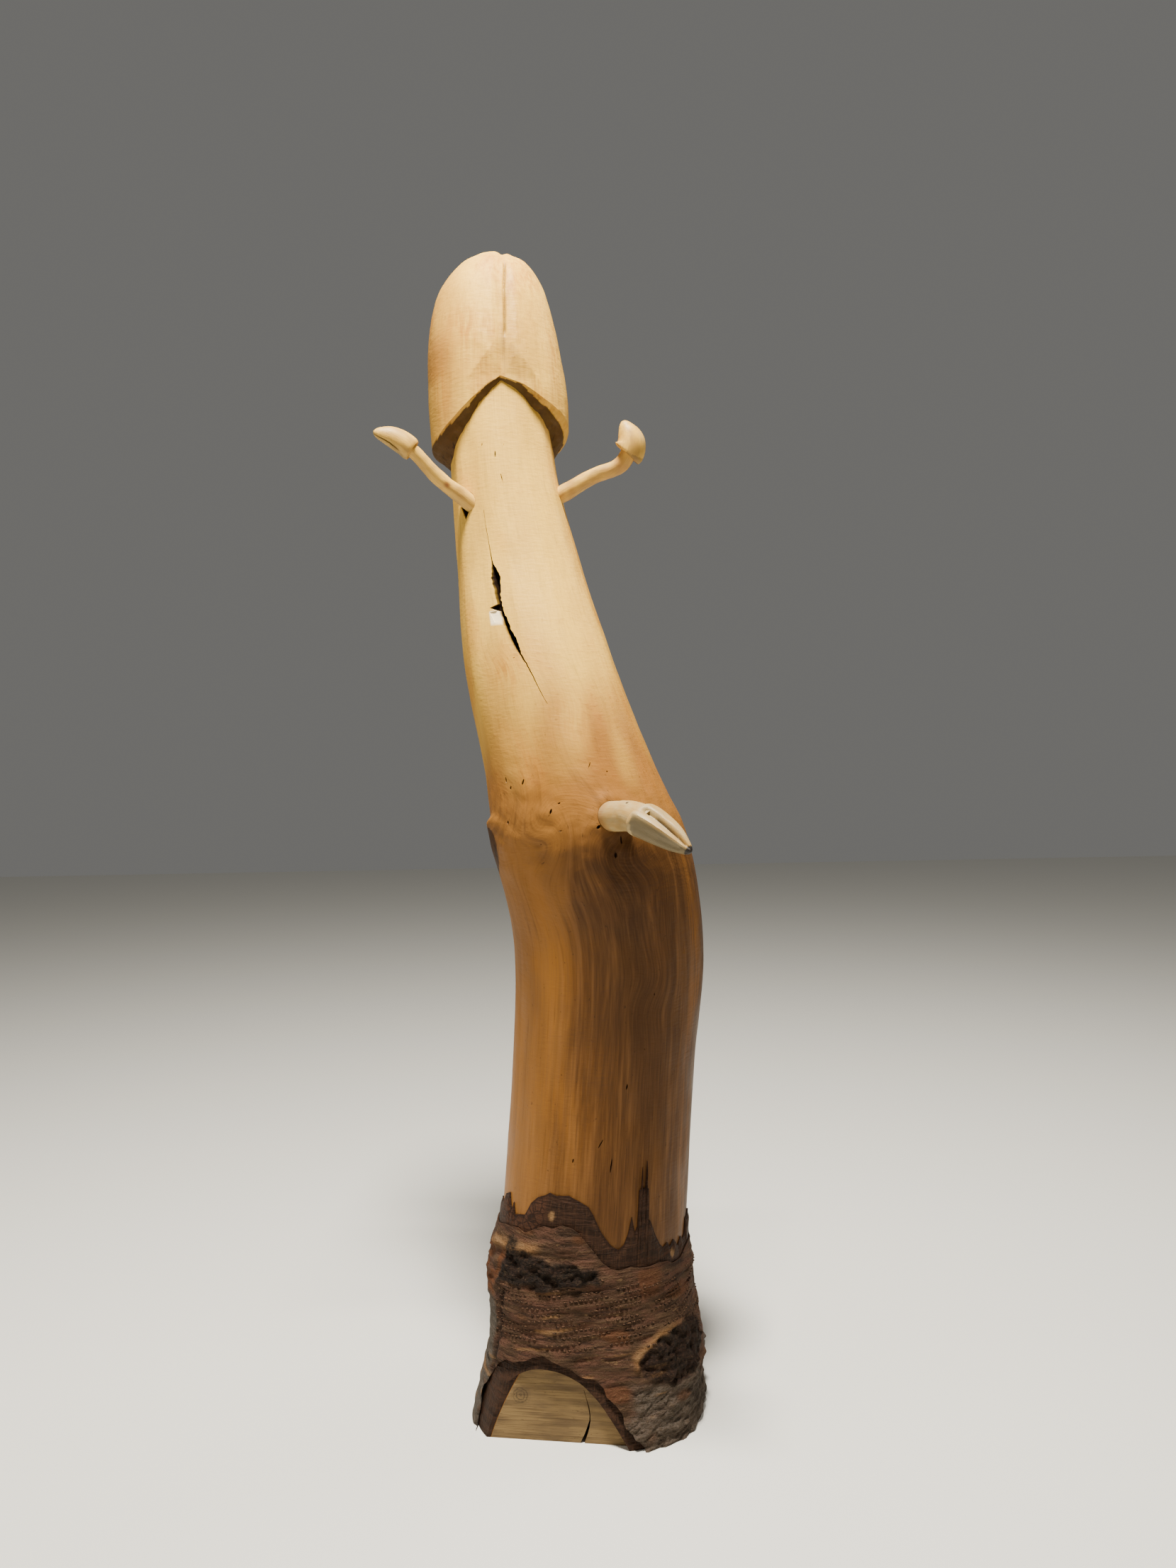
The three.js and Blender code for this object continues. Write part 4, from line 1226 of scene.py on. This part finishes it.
def make_arm(arm):
    """One arm: the peg and the stick in one skin, joined to its carved cap."""
    branch = Branch(arm)
    end, out = peg_of(arm["node"], joint_of(arm["joint"]))
    root = np.array(arm["root"], float)
    first = unit(np.cross(branch.faces, out))
    second = np.cross(out, first)
    radius = arm["peg_radius"]
    loops = []
    for share, inset in ((0.0, 0.8), (0.02, 0.0), (0.5, 0.0), (0.97, 0.0)):
        centre = end + (root - end) * share
        loops.append(ring(centre, first, second, radius - inset, LIMB_SIDES))
    stick = arm["stick"]
    blunt = stick[-1][0]
    for share in np.arange(0.04, blunt + 0.001, 0.014):
        wide, thick, drawn = (along_rows([(0.0, radius, radius, 0), *stick], share, k) for k in (1, 2, 3))
        loops.append(limb_ring(branch, share, wide, thick, drawn))
    piece = closed_skin(arm["name"], loops, end, branch.at(blunt + 0.005))
    rough = points_of(piece)
    outside = ((rough - root) @ out) > 1.5
    centred = rough - np.array([branch.at(s) for s in share_of(branch, rough)])
    rough[outside] += (unit(centred) * (
        0.3 * noise(rough, 11, 71) + 0.12 * noise(rough, 4, 73))[:, None])[outside]
    piece.data.vertices.foreach_set("co", (rough * MM).ravel())

    cap = arm["cap"]
    low = cap[0][0]
    loops = []
    start_wide, start_thick, start_drawn = cap[0][1:]
    # The lip under the cap, rounded over from the stick outwards.
    for inset, back in ((0.45, 0.012), (0.2, 0.006), (0.07, 0.0), (0.0, 0.008)):
        loops.append(limb_ring(branch, low + back, start_wide * (1 - inset),
                               start_thick * (1 - inset), start_drawn))
    last = cap[-1]
    for share in np.concatenate([np.linspace(low + 0.02, last[0], 46),
                                 1 - (1 - last[0]) * np.linspace(0.92, 0.06, 12) ** 1.6]):
        inside = min(share, last[0])
        wide, thick, drawn = (along_rows(cap, inside, k) for k in (1, 2, 3))
        fall = ((1 - share) / (1 - last[0])) ** 0.5 if share > last[0] else 1.0
        press = cap_press(arm["name"], share) * smooth((share - low) / 0.05)
        press = np.minimum(press, 0.55 * min(wide, thick) * fall) * fall
        loops.append(limb_ring(branch, share, wide * fall, thick * fall, drawn * fall, press))
    head = closed_skin(arm["name"] + "_cap", loops, branch.at(low + 0.02), branch.at(1.0))
    carve(piece, [head], "UNION")
    return piece, branch


def share_of(branch, points):
    """The share of the way along a branch that is nearest to each point."""
    tree = KDTree(len(branch.points))
    for k, point in enumerate(branch.points):
        tree.insert(point, k)
    tree.balance()
    return branch.walked[[tree.find(p)[1] for p in points]]


def arm_marks(piece, arm, branch):
    """The grain's direction along an arm, its knots and stains, and painted shade in the slits
    and grooves, under the caps' lips and on the caps' shaded sides.
    """
    points = points_of(piece)
    shares = share_of(branch, points)
    grain, turn = [], []
    for point, share in zip(points, shares):
        centre, _, across, over = branch.frame_at(share)
        x, y = (point - centre) @ across, (point - centre) @ over
        grain.append((x, y, share * branch.length))
        turn.append(math.degrees(math.atan2(y, x)))
    grain, turn = np.array(grain), np.array(turn)
    reach = np.hypot(grain[:, 0], grain[:, 1])
    shade = 0.25 * smooth(noise(points, 14, 81))
    warm = np.zeros(len(points))
    hollow = np.zeros(len(points))
    on_cap = shares > arm["cap"][0][0]
    if arm["name"] == "arm_left":
        warm = 0.9 * hump(turn_from(62, turn), 22) * hump((shares - 0.22) * branch.length, 3.2)
        # Painted shade in the slit under the cap and on the cap's underside.
        hollow = 0.8 * hump(turn_from(16, turn), 6) * smooth((shares - 0.7) / 0.06)
        shade = shade + 0.55 * hump(turn_from(-6, turn), 30) * on_cap
    elif arm["name"] == "arm_lower":
        tip = np.linalg.norm(points - branch.at(1.0), axis=1)
        # A dark spot at the tip and a speck on the stick; the dark in the cap's groove is painted shade.
        hollow = np.maximum(smooth((6.2 - tip) / 1.0), 0.9 * hump(
            turn_from(106, turn), 6) * window(shares, 0.66, 0.93, 0.04))
        speck = np.hypot(reach * np.radians(turn_from(112, turn)) / 1.1,
                         (shares - 0.34) * branch.length / 1.3)
        hollow = np.maximum(hollow, smooth((1.9 - speck) / 0.8))
        # Painted shade on the cap's lower-left lobe.
        shade = shade + 0.95 * window(turn_from(186, turn), -30, 70, 6) * (shares > 0.52)
        warm = 0.3 * smooth((0.1 - shares) / 0.08)
    else:
        warm = 0.22 * smooth(noise(points, 9, 83)) + 0.3 * hump(shares - 0.62, 0.06)
        # Painted shade on the stick just under the cap's lip.
        hollow = 0.5 * (shares < arm["cap"][0][0] + 0.02) * smooth((reach - 8.3) / 0.6)
    give(piece, grain=grain * MM, shade=np.clip(shade, 0, 1), warm=np.clip(warm, 0, 1),
         hollow=np.clip(hollow, 0, 1))


# ---- Marks on the log -----------------------------------------------------------------------


def wood_tone(points, angle, height):
    """From 0 where the wood is pale, at the head, to 1 where it is brown, above the bark.
    The browning low down is partly the wood's own colour and partly painted shade for the
    dimmer light there; the right side below the hip is painted shade, and the left side low
    down painted light.
    """
    drift = 0.1 * noise(points, (22, 22, 120), 91)
    tone = 0.04 + 0.44 * smooth((735 - height) / 170) + drift
    tone += 0.26 * smooth((610 - height) / 90)
    # Painted shade: the right side below the hip is made darker, as if turned from the light.
    ragged = angle + 10 * noise(points, (14, 14, 160), 97)
    right = smooth((ragged + 48) / 84) * smooth((172 - ragged) / 60)
    tone += 0.36 * right * smooth((560 - height) / 60) * (1 - 0.3 * smooth((330 - height) / 110))
    # Painted light: the left side low down is made a little lighter.
    return np.clip(tone - 0.1 * smooth((-54 - angle) / 14) * smooth((450 - height) / 60), 0, 1)


# Dark and warm patches: angle, height, reach round the log, reach in height, strength.
# Of the dark patches, the two below the lower arm (angles 22 and 30) are a painted shadow of
# that arm, and the broad ones at the hip's front-left are partly painted shade about the hip's
# bulge; the narrow tall ones are dark streaks in the wood.
DARK_PATCHES = [
    (22, 506, 15, 30, 0.6), (30, 440, 22, 90, 0.3), (40, 360, 5, 80, 0.25), (-40, 545, 30, 40, 0.25),
    (-56, 484, 14, 40, 0.4),
    (-36, 520, 22, 12, 0.25), (-45, 586, 10, 8, 0.2), (54, 470, 3, 60, 0.5), (16, 400, 3, 60, 0.3),
    (26, 222, 6, 12, 0.25), (66, 480, 6, 40, 0.35), (130, 450, 20, 70, 0.3),
    (-150, 520, 18, 60, 0.25), (100, 620, 14, 50, 0.2),
]
WARM_PATCHES = [
    (82, 760, 24, 190, 0.9), (78, 620, 26, 80, 1.0), (-28, 690, 16, 26, 0.7), (-24, 716, 9, 14, 0.7),
    (-70, 740, 14, 120, 0.45), (10, 640, 16, 40, 0.35), (-30, 610, 22, 40, 0.4),
    (-30, 300, 30, 60, 0.25), (-40, 420, 24, 90, 0.3), (64, 440, 8, 120, 0.45), (180, 600, 60, 200, 0.3),
]


def patches(table, angle, height):
    """The strongest of a table's patches at each place."""
    total = np.zeros_like(height)
    for at, tall, reach, rise, strength in table:
        total = np.maximum(total, strength * hump(turn_from(at, angle), reach) * hump(height - tall, rise))
    return total


def log_marks(piece, flat_amount):
    """The grain's direction, the patches, and painted shade on the log: in its cracks, pits,
    notches and sockets, under the knot's lip and where the lower arm's shadow falls.
    """
    points = points_of(piece)
    angle, height, distance = where_on_log(points)
    _, _, radius = log_radius(angle, height)
    depth = radius + wood_relief(angle, height, flat_amount) - distance
    inside = (height > 1) & (height < LOG_TOP - 1)
    front_cut = (np.abs(points @ SAW_NORMAL - SAW_DISTANCE) < 0.6) & (height < SAW_HEIGHT + 4)
    # Painted shade: wood lying deeper below the carved surface, in the crack, pits, notches and sockets,
    # is made darker.
    hollow = np.where(inside & ~front_cut, smooth((depth - 0.15) / 1.0), 0)
    # Painted shade on the walls of the drying crack in the sawn face.
    hollow = np.where((height < 60) & (points @ SAW_NORMAL < SAW_DISTANCE - 0.6) & (depth > 1), 1, hollow)
    # The pale flake beside the crack: fresh wood, and partly painted light where its floor faces up.
    flake = window(angle, -33, -22.5, 0.6) * window(height, 732.5, 744.5, 0.8) * (depth < 2.2)
    hollow = hollow * (1 - flake)
    shade = patches(DARK_PATCHES, angle, height)
    scar_distance = np.hypot(turn_from(-79 + 0.12 * (height - 522), angle) / 9, (height - 524) / 23)
    shade = np.maximum(shade, smooth((1.15 - scar_distance) / 0.3))
    below = knot_edge(angle) - height
    # Painted shade: a dark band just below the knot's lip, where its ridge shades the wood.
    shade = np.maximum(shade, 0.5 * hump(below - 9, 5) * hump(turn_from(-64, angle), 11))
    shade = np.where(front_cut, 0, shade)
    # Painted shadow of the lower arm on the hip just below its root.
    shade = np.maximum(shade, 0.45 * hump(points[:, 0] - 31, 14) * window(height, 505, 540, 10)
                       * (np.abs(angle) < 50))
    give(piece, grain=straightened(points), tone=wood_tone(points, angle, height),
         warm=patches(WARM_PATCHES, angle, height), shade=np.clip(shade, 0, 1), hollow=hollow,
         flake=flake)


def sawn_faces(piece):
    """Gives the flat saw cuts, at the foot's front and underneath, the sawn wood."""
    mesh = piece.data
    normals = np.empty(len(mesh.polygons) * 3)
    centres = np.empty(len(mesh.polygons) * 3)
    mesh.polygons.foreach_get("normal", normals)
    mesh.polygons.foreach_get("center", centres)
    normals, centres = normals.reshape(-1, 3), centres.reshape(-1, 3) / MM
    flat = (np.abs(centres @ SAW_NORMAL - SAW_DISTANCE) < 0.6) & (normals @ SAW_NORMAL > 0.95)
    flat &= centres[:, 2] < SAW_HEIGHT + 4
    under = (centres[:, 2] < 0.5) & (normals[:, 2] < -0.9)
    mesh.polygons.foreach_set("material_index", (flat | under).astype(np.int32))


def head_marks(piece):
    """The grain's direction and the patches on the head, and painted shade under its rim, on the
    facets at the rim's peak and in the knife line down its front.
    """
    points = points_of(piece)
    x, y = points[:, 0] + 72, points[:, 1] - 32
    angle = np.degrees(np.arctan2(x, -y))
    height = points[:, 2]
    rim = NECK_HEIGHT + round_log(RIM_EDGE, angle)
    full = radius_of(*(along_rows(HEAD_SECTIONS, height - NECK_HEIGHT, k) for k in (2, 3)), 2.1, angle)
    # Painted shade under the rim: its underside and the neck beneath are made dark.
    below = (np.hypot(x, y) < full - 2.2) & (height < rim + 2)
    under = below * (0.78 + 0.2 * smooth((full - np.hypot(x, y)) / 12))
    # Painted shade in the knife line down the head's front.
    groove = hump(points[:, 0] - GROOVE_X - 1.6, 1.4) * window(height, 1014, 1082, 6) * (y < 6)
    stain = 0.5 * hump(points[:, 0] - GROOVE_X, 3) * hump(height - 1000, 16) * (y < 0)
    _, half_width = peak_facets(height)
    on_facet = (np.abs(points[:, 0] - GROOVE_X) < half_width) * (height < 1000) * (y < 0)
    # Painted shade on the two facets at the rim's peak, the right one darker than the left.
    facet = np.where(points[:, 0] < GROOVE_X, 0.12, 0.24) * on_facet
    warm = np.maximum.reduce([
        0.7 * hump(points[:, 0] + 52, 16) * hump(height - 1060, 34),
        0.8 * hump(points[:, 0] + 100, 20) * hump(height - 1008, 34),
        0.6 * hump(points[:, 0] + 14, 12) * hump(height - 1000, 60),
        0.55 * hump(points[:, 0] + 118, 16) * hump(height - 960, 34),
        0.6 * smooth(noise(points, 34, 93)),
        0.6 * (facet > 0) * (points[:, 0] < GROOVE_X),
    ])
    give(piece, grain=np.stack([x, y, height], -1) * MM,
         tone=0.08 + 0.14 * smooth(noise(points, 45, 95)) + 0.18 * smooth((-84 - points[:, 0]) / 34),
         warm=warm,
         shade=np.clip(np.maximum.reduce([under, facet, stain]), 0, 1),
         hollow=np.clip(0.55 * groove, 0, 1), flake=np.zeros(len(points)))


# ---- Operators ------------------------------------------------------------------------------


def materials_of(context):
    """The figure's materials, made once."""
    names = ("carved_lime_wood", "sawn_face_wood", "inner_bark_skin", "weathered_outer_bark",
             "corky_pores", "peeled_branch_pale", "peeled_branch_grey")
    if names[0] not in bpy.data.materials:
        colours, sizes = context.scene.log_figure_colours, context.scene.log_figure_sizes
        carved_lime_wood(colours, sizes)
        sawn_face_wood(colours)
        inner_bark_skin(colours)
        weathered_outer_bark(colours)
        corky_pores(colours)
        peeled_branch(names[5], colours, colours.branch_wood, colours.branch_shade)
        peeled_branch(names[6], colours, colours.grey_branch, linear("A89A74"))
    return {name: bpy.data.materials[name] for name in names}


def point_at(thing, place, target):
    """Puts a lamp at a place, facing the target."""
    thing.location = place
    thing.rotation_euler = (Vector(target) - Vector(place)).to_track_quat("-Z", "Y").to_euler()


class LOGFIGURE_OT_stage(bpy.types.Operator):
    """Set up the camera, the soft studio lights and the pale floor"""

    bl_idname = "logfigure.stage"
    bl_label = "Stage"

    def execute(self, context):
        scene = context.scene
        colours = scene.log_figure_colours
        lens = bpy.data.cameras.new("camera")
        lens.lens, lens.sensor_width, lens.clip_start = 27.0, 36.0, 0.01
        camera = bpy.data.objects.new("camera", lens)
        right = Vector((0.9998, -0.00994, -0.01731))
        up = Vector((0.01745, 0.01386, 0.99975))
        ahead = Vector((0.00970, 0.99985, -0.01403))
        turned = Matrix((right, up, -ahead)).transposed().to_4x4()
        camera.matrix_world = Matrix.Translation((0.0, -1.135, 0.600)) @ turned
        scene.collection.objects.link(camera)
        scene.camera = camera

        for name, place, size, power, target in (
            ("key_light", (-0.06, -0.5, 2.15), 0.3, 125, (0, -0.05, 0.8)),
            ("fill_light", (-1.7, -0.45, 1.0), 0.9, 7, (0, 0, 0.4)),
            ("rim_light", (1.3, 0.6, 1.9), 0.8, 10, (0, 0, 0.7)),
        ):
            light = bpy.data.lights.new(name, "AREA")
            light.energy, light.size, light.color = power, size, (1.0, 0.95, 0.86)
            lamp = bpy.data.objects.new(name, light)
            point_at(lamp, place, target)
            scene.collection.objects.link(lamp)

        world = bpy.data.worlds.new("soft_room")
        world.use_nodes = True
        world.node_tree.nodes["Background"].inputs["Color"].default_value = (0.6, 0.59, 0.56, 1)
        world.node_tree.nodes["Background"].inputs["Strength"].default_value = 0.26
        scene.world = world

        floor = new_piece("floor", np.array([(-4, -4, 0), (4, -4, 0), (4, 6, 0), (-4, 6, 0)], float),
                          [(0, 1, 2, 3)])
        material, _, shader = start_material("matt_painted_floor", Roughness=0.7)
        shader.inputs["Base Color"].default_value = (*colours.floor, 1)
        floor.data.materials.append(material)
        return {"FINISHED"}


class LOGFIGURE_OT_trunk(bpy.types.Operator):
    """Carve the log with its flats, crack, pits, sockets and sawn foot"""

    bl_idname = "logfigure.trunk"
    bl_label = "Trunk"

    def execute(self, context):
        sizes = context.scene.log_figure_sizes
        angles = np.arange(LOG_COLUMNS) * 360 / LOG_COLUMNS
        heights = np.concatenate([
            np.arange(0, HIDDEN_HEIGHT, HIDDEN_STEP), np.arange(HIDDEN_HEIGHT, LOG_TOP, LOG_STEP),
            [LOG_TOP]])
        height, angle = np.meshgrid(heights, angles, indexing="ij")
        relief = wood_relief(angle, height, sizes.flat_depth)
        trunk = closed_skin("log_trunk", log_point(angle, height, relief))
        carve(trunk, [
            saw_block("saw_cutter", 0, True), saw_crack_cutter(), crack_cutter(sizes),
            *(corner_cutter("notch_cutter", *notch) for notch in NOTCHES), pit_cutters(),
            *(socket_cutter(arm, sizes) for arm in ARMS)])
        log_marks(trunk, sizes.flat_depth)
        made = materials_of(context)
        finish_piece(trunk, "log", ["carved_log"],
                     [made["carved_lime_wood"], made["sawn_face_wood"]], 38)
        sawn_faces(trunk)
        return {"FINISHED"}


class LOGFIGURE_OT_head(bpy.types.Operator):
    """Carve the domed head with its rim, its groove and the facets at the rim's peak"""

    bl_idname = "logfigure.head"
    bl_label = "Head"

    def execute(self, context):
        head = carve_head(context.scene.log_figure_sizes)
        head_marks(head)
        finish_piece(head, "log", ["carved_log"],
                     [materials_of(context)["carved_lime_wood"]], 40)
        return {"FINISHED"}


class LOGFIGURE_OT_bark(bpy.types.Operator):
    """Make the smooth inner bark and the rough outer bark round the foot"""

    bl_idname = "logfigure.bark"
    bl_label = "Bark"

    def execute(self, context):
        sizes = context.scene.log_figure_sizes
        made = materials_of(context)
        gap, thin, thick = bark_layers(sizes)

        def inner_surface(angle, height, top):
            place = log_point(angle, height)
            taper = 0.42 + 0.58 * smooth((top - height) / 10)
            return gap + thin * taper + 0.22 * noise(sloped(place), (20, 20, 4), 35, 2) - 0.1

        angles = bark_columns(INNER_EDGE, 1.25, [(18, 33, 0.5)])
        inner = bark_shell("bark_inner", angles, INNER_EDGE, gap, inner_surface, 84)
        carve(inner, [saw_block("inner_saw_cutter", 0, True)])
        points = points_of(inner)
        angle, height, _ = where_on_log(points)
        top = round_log(INNER_EDGE, angle)
        edge = 0.75 * smooth((4 - (top - height)) / 3)
        pale = [(-27, 197, 3.0, 4.2), (50, 152, 2.2, 3.4)]
        tan = np.zeros(len(points))
        for at, tall, wide, high in pale:
            tan = np.maximum(tan, smooth((1.2 - np.hypot(
                turn_from(at, angle) * 1.6 / wide, (height - tall) / high)) / 0.4))
        rust = 0.6 * hump(turn_from(-16, angle), 6) * hump(height - 182, 4)
        plated = window(angle + 5 * noise(points, 14, 37), -96, -36, 6) * smooth((height - 172) / 6)
        give(inner, grain=straightened(points), edge=edge, tan=0.8 * tan, rust=rust, plated=plated)
        finish_piece(inner, "log", ["inner_bark"], [made["inner_bark_skin"]], 50)

        def outer_surface(angle, height, top):
            taper = 0.3 + 0.7 * smooth((top - height) / 16)
            raised = bark_height(angle, height, sizes.bark_relief / MM)
            raised = np.where(raised < 0, raised * taper, raised * (0.4 + 0.6 * taper))
            return 2 * gap + thin + np.maximum(thick * taper + raised, 0.5)

        angles = bark_columns(OUTER_EDGE, 1.1)
        outer = bark_shell("bark_outer", angles, OUTER_EDGE, 2 * gap + thin, outer_surface, 112)
        carve(outer, [saw_block("bark_arch_cutter", 11, False, 2.5)])
        points = points_of(outer)
        angle, height, distance = where_on_log(points)
        _, _, radius = log_radius(angle, height)
        area = bark_areas(angle, height)
        raised = distance - radius - (2 * gap + thin)
        split = fissure(angle, height, 1.8)
        # Painted shade: darker where the bark's relief lies low and in the upright split.
        give(outer, grain=straightened(points), char=area["char"], grey=area["grey"],
             tan=area["tan"], rust=0.75 * area["rust"],
             deep=np.clip(np.maximum(smooth((1.6 - raised) / 1.4) * 0.7, 0.8 * split), 0, 1))
        finish_piece(outer, "log", ["outer_bark"], [made["weathered_outer_bark"]], 60)
        return {"FINISHED"}


def lenticel_places(sizes):
    """Points in broken, gently rising rows on the bark, each with the way that it faces."""
    rng = np.random.default_rng(17)
    gap, thin, thick = bark_layers(sizes)
    spots = []
    for row in np.arange(50, 136, 5.2):
        angle = -62 + rng.uniform(0, 10)
        while angle < 72:
            for _ in range(int(rng.integers(4, 12))):
                spots.append((angle, row + 0.2 * (angle + 60) * 0.9 + rng.uniform(-0.3, 0.3)))
                angle += rng.uniform(2.3, 2.8)
            angle += rng.uniform(5, 18)
    angle, height = np.array(spots).T
    area = bark_areas(angle, height)
    plain = (area["char"] < 0.2) & (area["grey"] < 0.3) & (height < round_log(OUTER_EDGE, angle) - 12)
    x = log_point(angle, height)[:, 0] + SAW_SHIFT
    arch = np.abs(x) < SAW_WIDTH / 2 + 16
    plain &= ~(arch & (height < SAW_HEIGHT + 18))
    angle, height = angle[plain], height[plain]
    out = 2 * gap + thin + thick + bark_height(angle, height, sizes.bark_relief / MM)
    turned = np.radians(angle)
    return log_point(angle, height, out), np.stack(
        [np.sin(turned), -np.cos(turned), np.zeros_like(turned)], -1)


class LOGFIGURE_OT_lenticels(bpy.types.Operator):
    """Set the rows of corky pores on the outer bark"""

    bl_idname = "logfigure.lenticels"
    bl_label = "Lenticels"

    def execute(self, context):
        sizes = context.scene.log_figure_sizes
        places, facing = lenticel_places(sizes)
        pores = new_piece("bark_lenticels", places * MM, [])
        give(pores, facing=facing)
        tree = bpy.data.node_groups.new("lenticel_rows", "GeometryNodeTree")
        tree.interface.new_socket("Geometry", in_out="INPUT", socket_type="NodeSocketGeometry")
        long = tree.interface.new_socket("Length", in_out="INPUT", socket_type="NodeSocketFloat")
        seed = tree.interface.new_socket("Seed", in_out="INPUT", socket_type="NodeSocketInt")
        tree.interface.new_socket("Geometry", in_out="OUTPUT", socket_type="NodeSocketGeometry")
        given = add(tree, "NodeGroupInput").outputs
        lens = add(tree, "GeometryNodeMeshUVSphere", {"Segments": 8, "Rings": 4, "Radius": 0.5})
        way = add(tree, "GeometryNodeInputNamedAttribute", {"Name": "facing"},
                  data_type="FLOAT_VECTOR").outputs["Attribute"]
        level = add(tree, "ShaderNodeVectorMath", {0: (0.0, 0.0, 1.0), 1: way},
                    operation="CROSS_PRODUCT").outputs[0]
        out = add(tree, "FunctionNodeAlignRotationToVector", {"Vector": way}, axis="Z")
        turned = add(tree, "FunctionNodeAlignRotationToVector", {
            "Rotation": out.outputs[0], "Vector": level}, axis="X", pivot_axis="Z")
        drawn = add(tree, "FunctionNodeRandomValue", {
            "Min": (0.9, 0.34, 0.6), "Max": (1.4, 0.5, 0.8), "Seed": given["Seed"],
        }, data_type="FLOAT_VECTOR").outputs["Value"]
        scaled = add(tree, "ShaderNodeVectorMath", {0: drawn, "Scale": given["Length"]},
                     operation="SCALE").outputs[0]
        placed = add(tree, "GeometryNodeInstanceOnPoints", {
            "Points": given["Geometry"], "Instance": lens.outputs["Mesh"],
            "Rotation": turned.outputs[0], "Scale": scaled})
        real = add(tree, "GeometryNodeRealizeInstances", {"Geometry": placed.outputs[0]})
        material = materials_of(context)["corky_pores"]
        painted = add(tree, "GeometryNodeSetMaterial", {
            "Geometry": real.outputs[0], "Material": material})
        add(tree, "NodeGroupOutput", {"Geometry": painted.outputs[0]})
        nodes = pores.modifiers.new("lenticels", "NODES")
        nodes.node_group = tree
        nodes[long.identifier] = sizes.lenticel_length
        nodes[seed.identifier] = 6
        seen = pores.evaluated_get(context.evaluated_depsgraph_get())
        result = bpy.data.meshes.new_from_object(seen)
        if not result.polygons:
            raise RuntimeError("no lenticels were made")
        make_plain(pores, result)
        finish_piece(pores, "log", ["outer_bark"], [material], 60)
        return {"FINISHED"}


class LOGFIGURE_OT_arms(bpy.types.Operator):
    """Whittle the three arms with their pegs and carved caps"""

    bl_idname = "logfigure.arms"
    bl_label = "Arms"

    def execute(self, context):
        made = materials_of(context)
        for arm in ARMS:
            piece, branch = make_arm(arm)
            arm_marks(piece, arm, branch)
            wood = "peeled_branch_grey" if arm["name"] == "arm_lower" else "peeled_branch_pale"
            finish_piece(piece, arm["node"], [arm["node"]], [made[wood]], 45)
        return {"FINISHED"}


class LOGFIGURE_PT_panel(bpy.types.Panel):
    """Lists the figure's pieces"""

    bl_idname = "LOGFIGURE_PT_panel"
    bl_label = "Log Figure"
    bl_space_type = "VIEW_3D"
    bl_region_type = "UI"
    bl_category = "Log Figure"

    def draw(self, context):
        for operator in OPERATORS:
            self.layout.operator(operator.bl_idname)
        for group in (context.scene.log_figure_sizes, context.scene.log_figure_colours):
            box = self.layout.box()
            for name in group.__annotations__:
                box.prop(group, name)


OPERATORS = (LOGFIGURE_OT_stage, LOGFIGURE_OT_trunk, LOGFIGURE_OT_head, LOGFIGURE_OT_bark,
             LOGFIGURE_OT_lenticels, LOGFIGURE_OT_arms)
CLASSES = (LogFigureSizes, LogFigureColours, *OPERATORS, LOGFIGURE_PT_panel)


def register():
    for cls in CLASSES:
        bpy.utils.register_class(cls)
    bpy.types.Scene.log_figure_sizes = bpy.props.PointerProperty(type=LogFigureSizes)
    bpy.types.Scene.log_figure_colours = bpy.props.PointerProperty(type=LogFigureColours)


def unregister():
    del bpy.types.Scene.log_figure_colours
    del bpy.types.Scene.log_figure_sizes
    for cls in reversed(CLASSES):
        bpy.utils.unregister_class(cls)


def main():
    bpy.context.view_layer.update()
    register()
    bpy.ops.logfigure.stage()
    bpy.ops.logfigure.trunk()
    bpy.ops.logfigure.head()
    bpy.ops.logfigure.bark()
    bpy.ops.logfigure.lenticels()
    bpy.ops.logfigure.arms()
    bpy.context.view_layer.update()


if __name__ == "__main__":
    main()
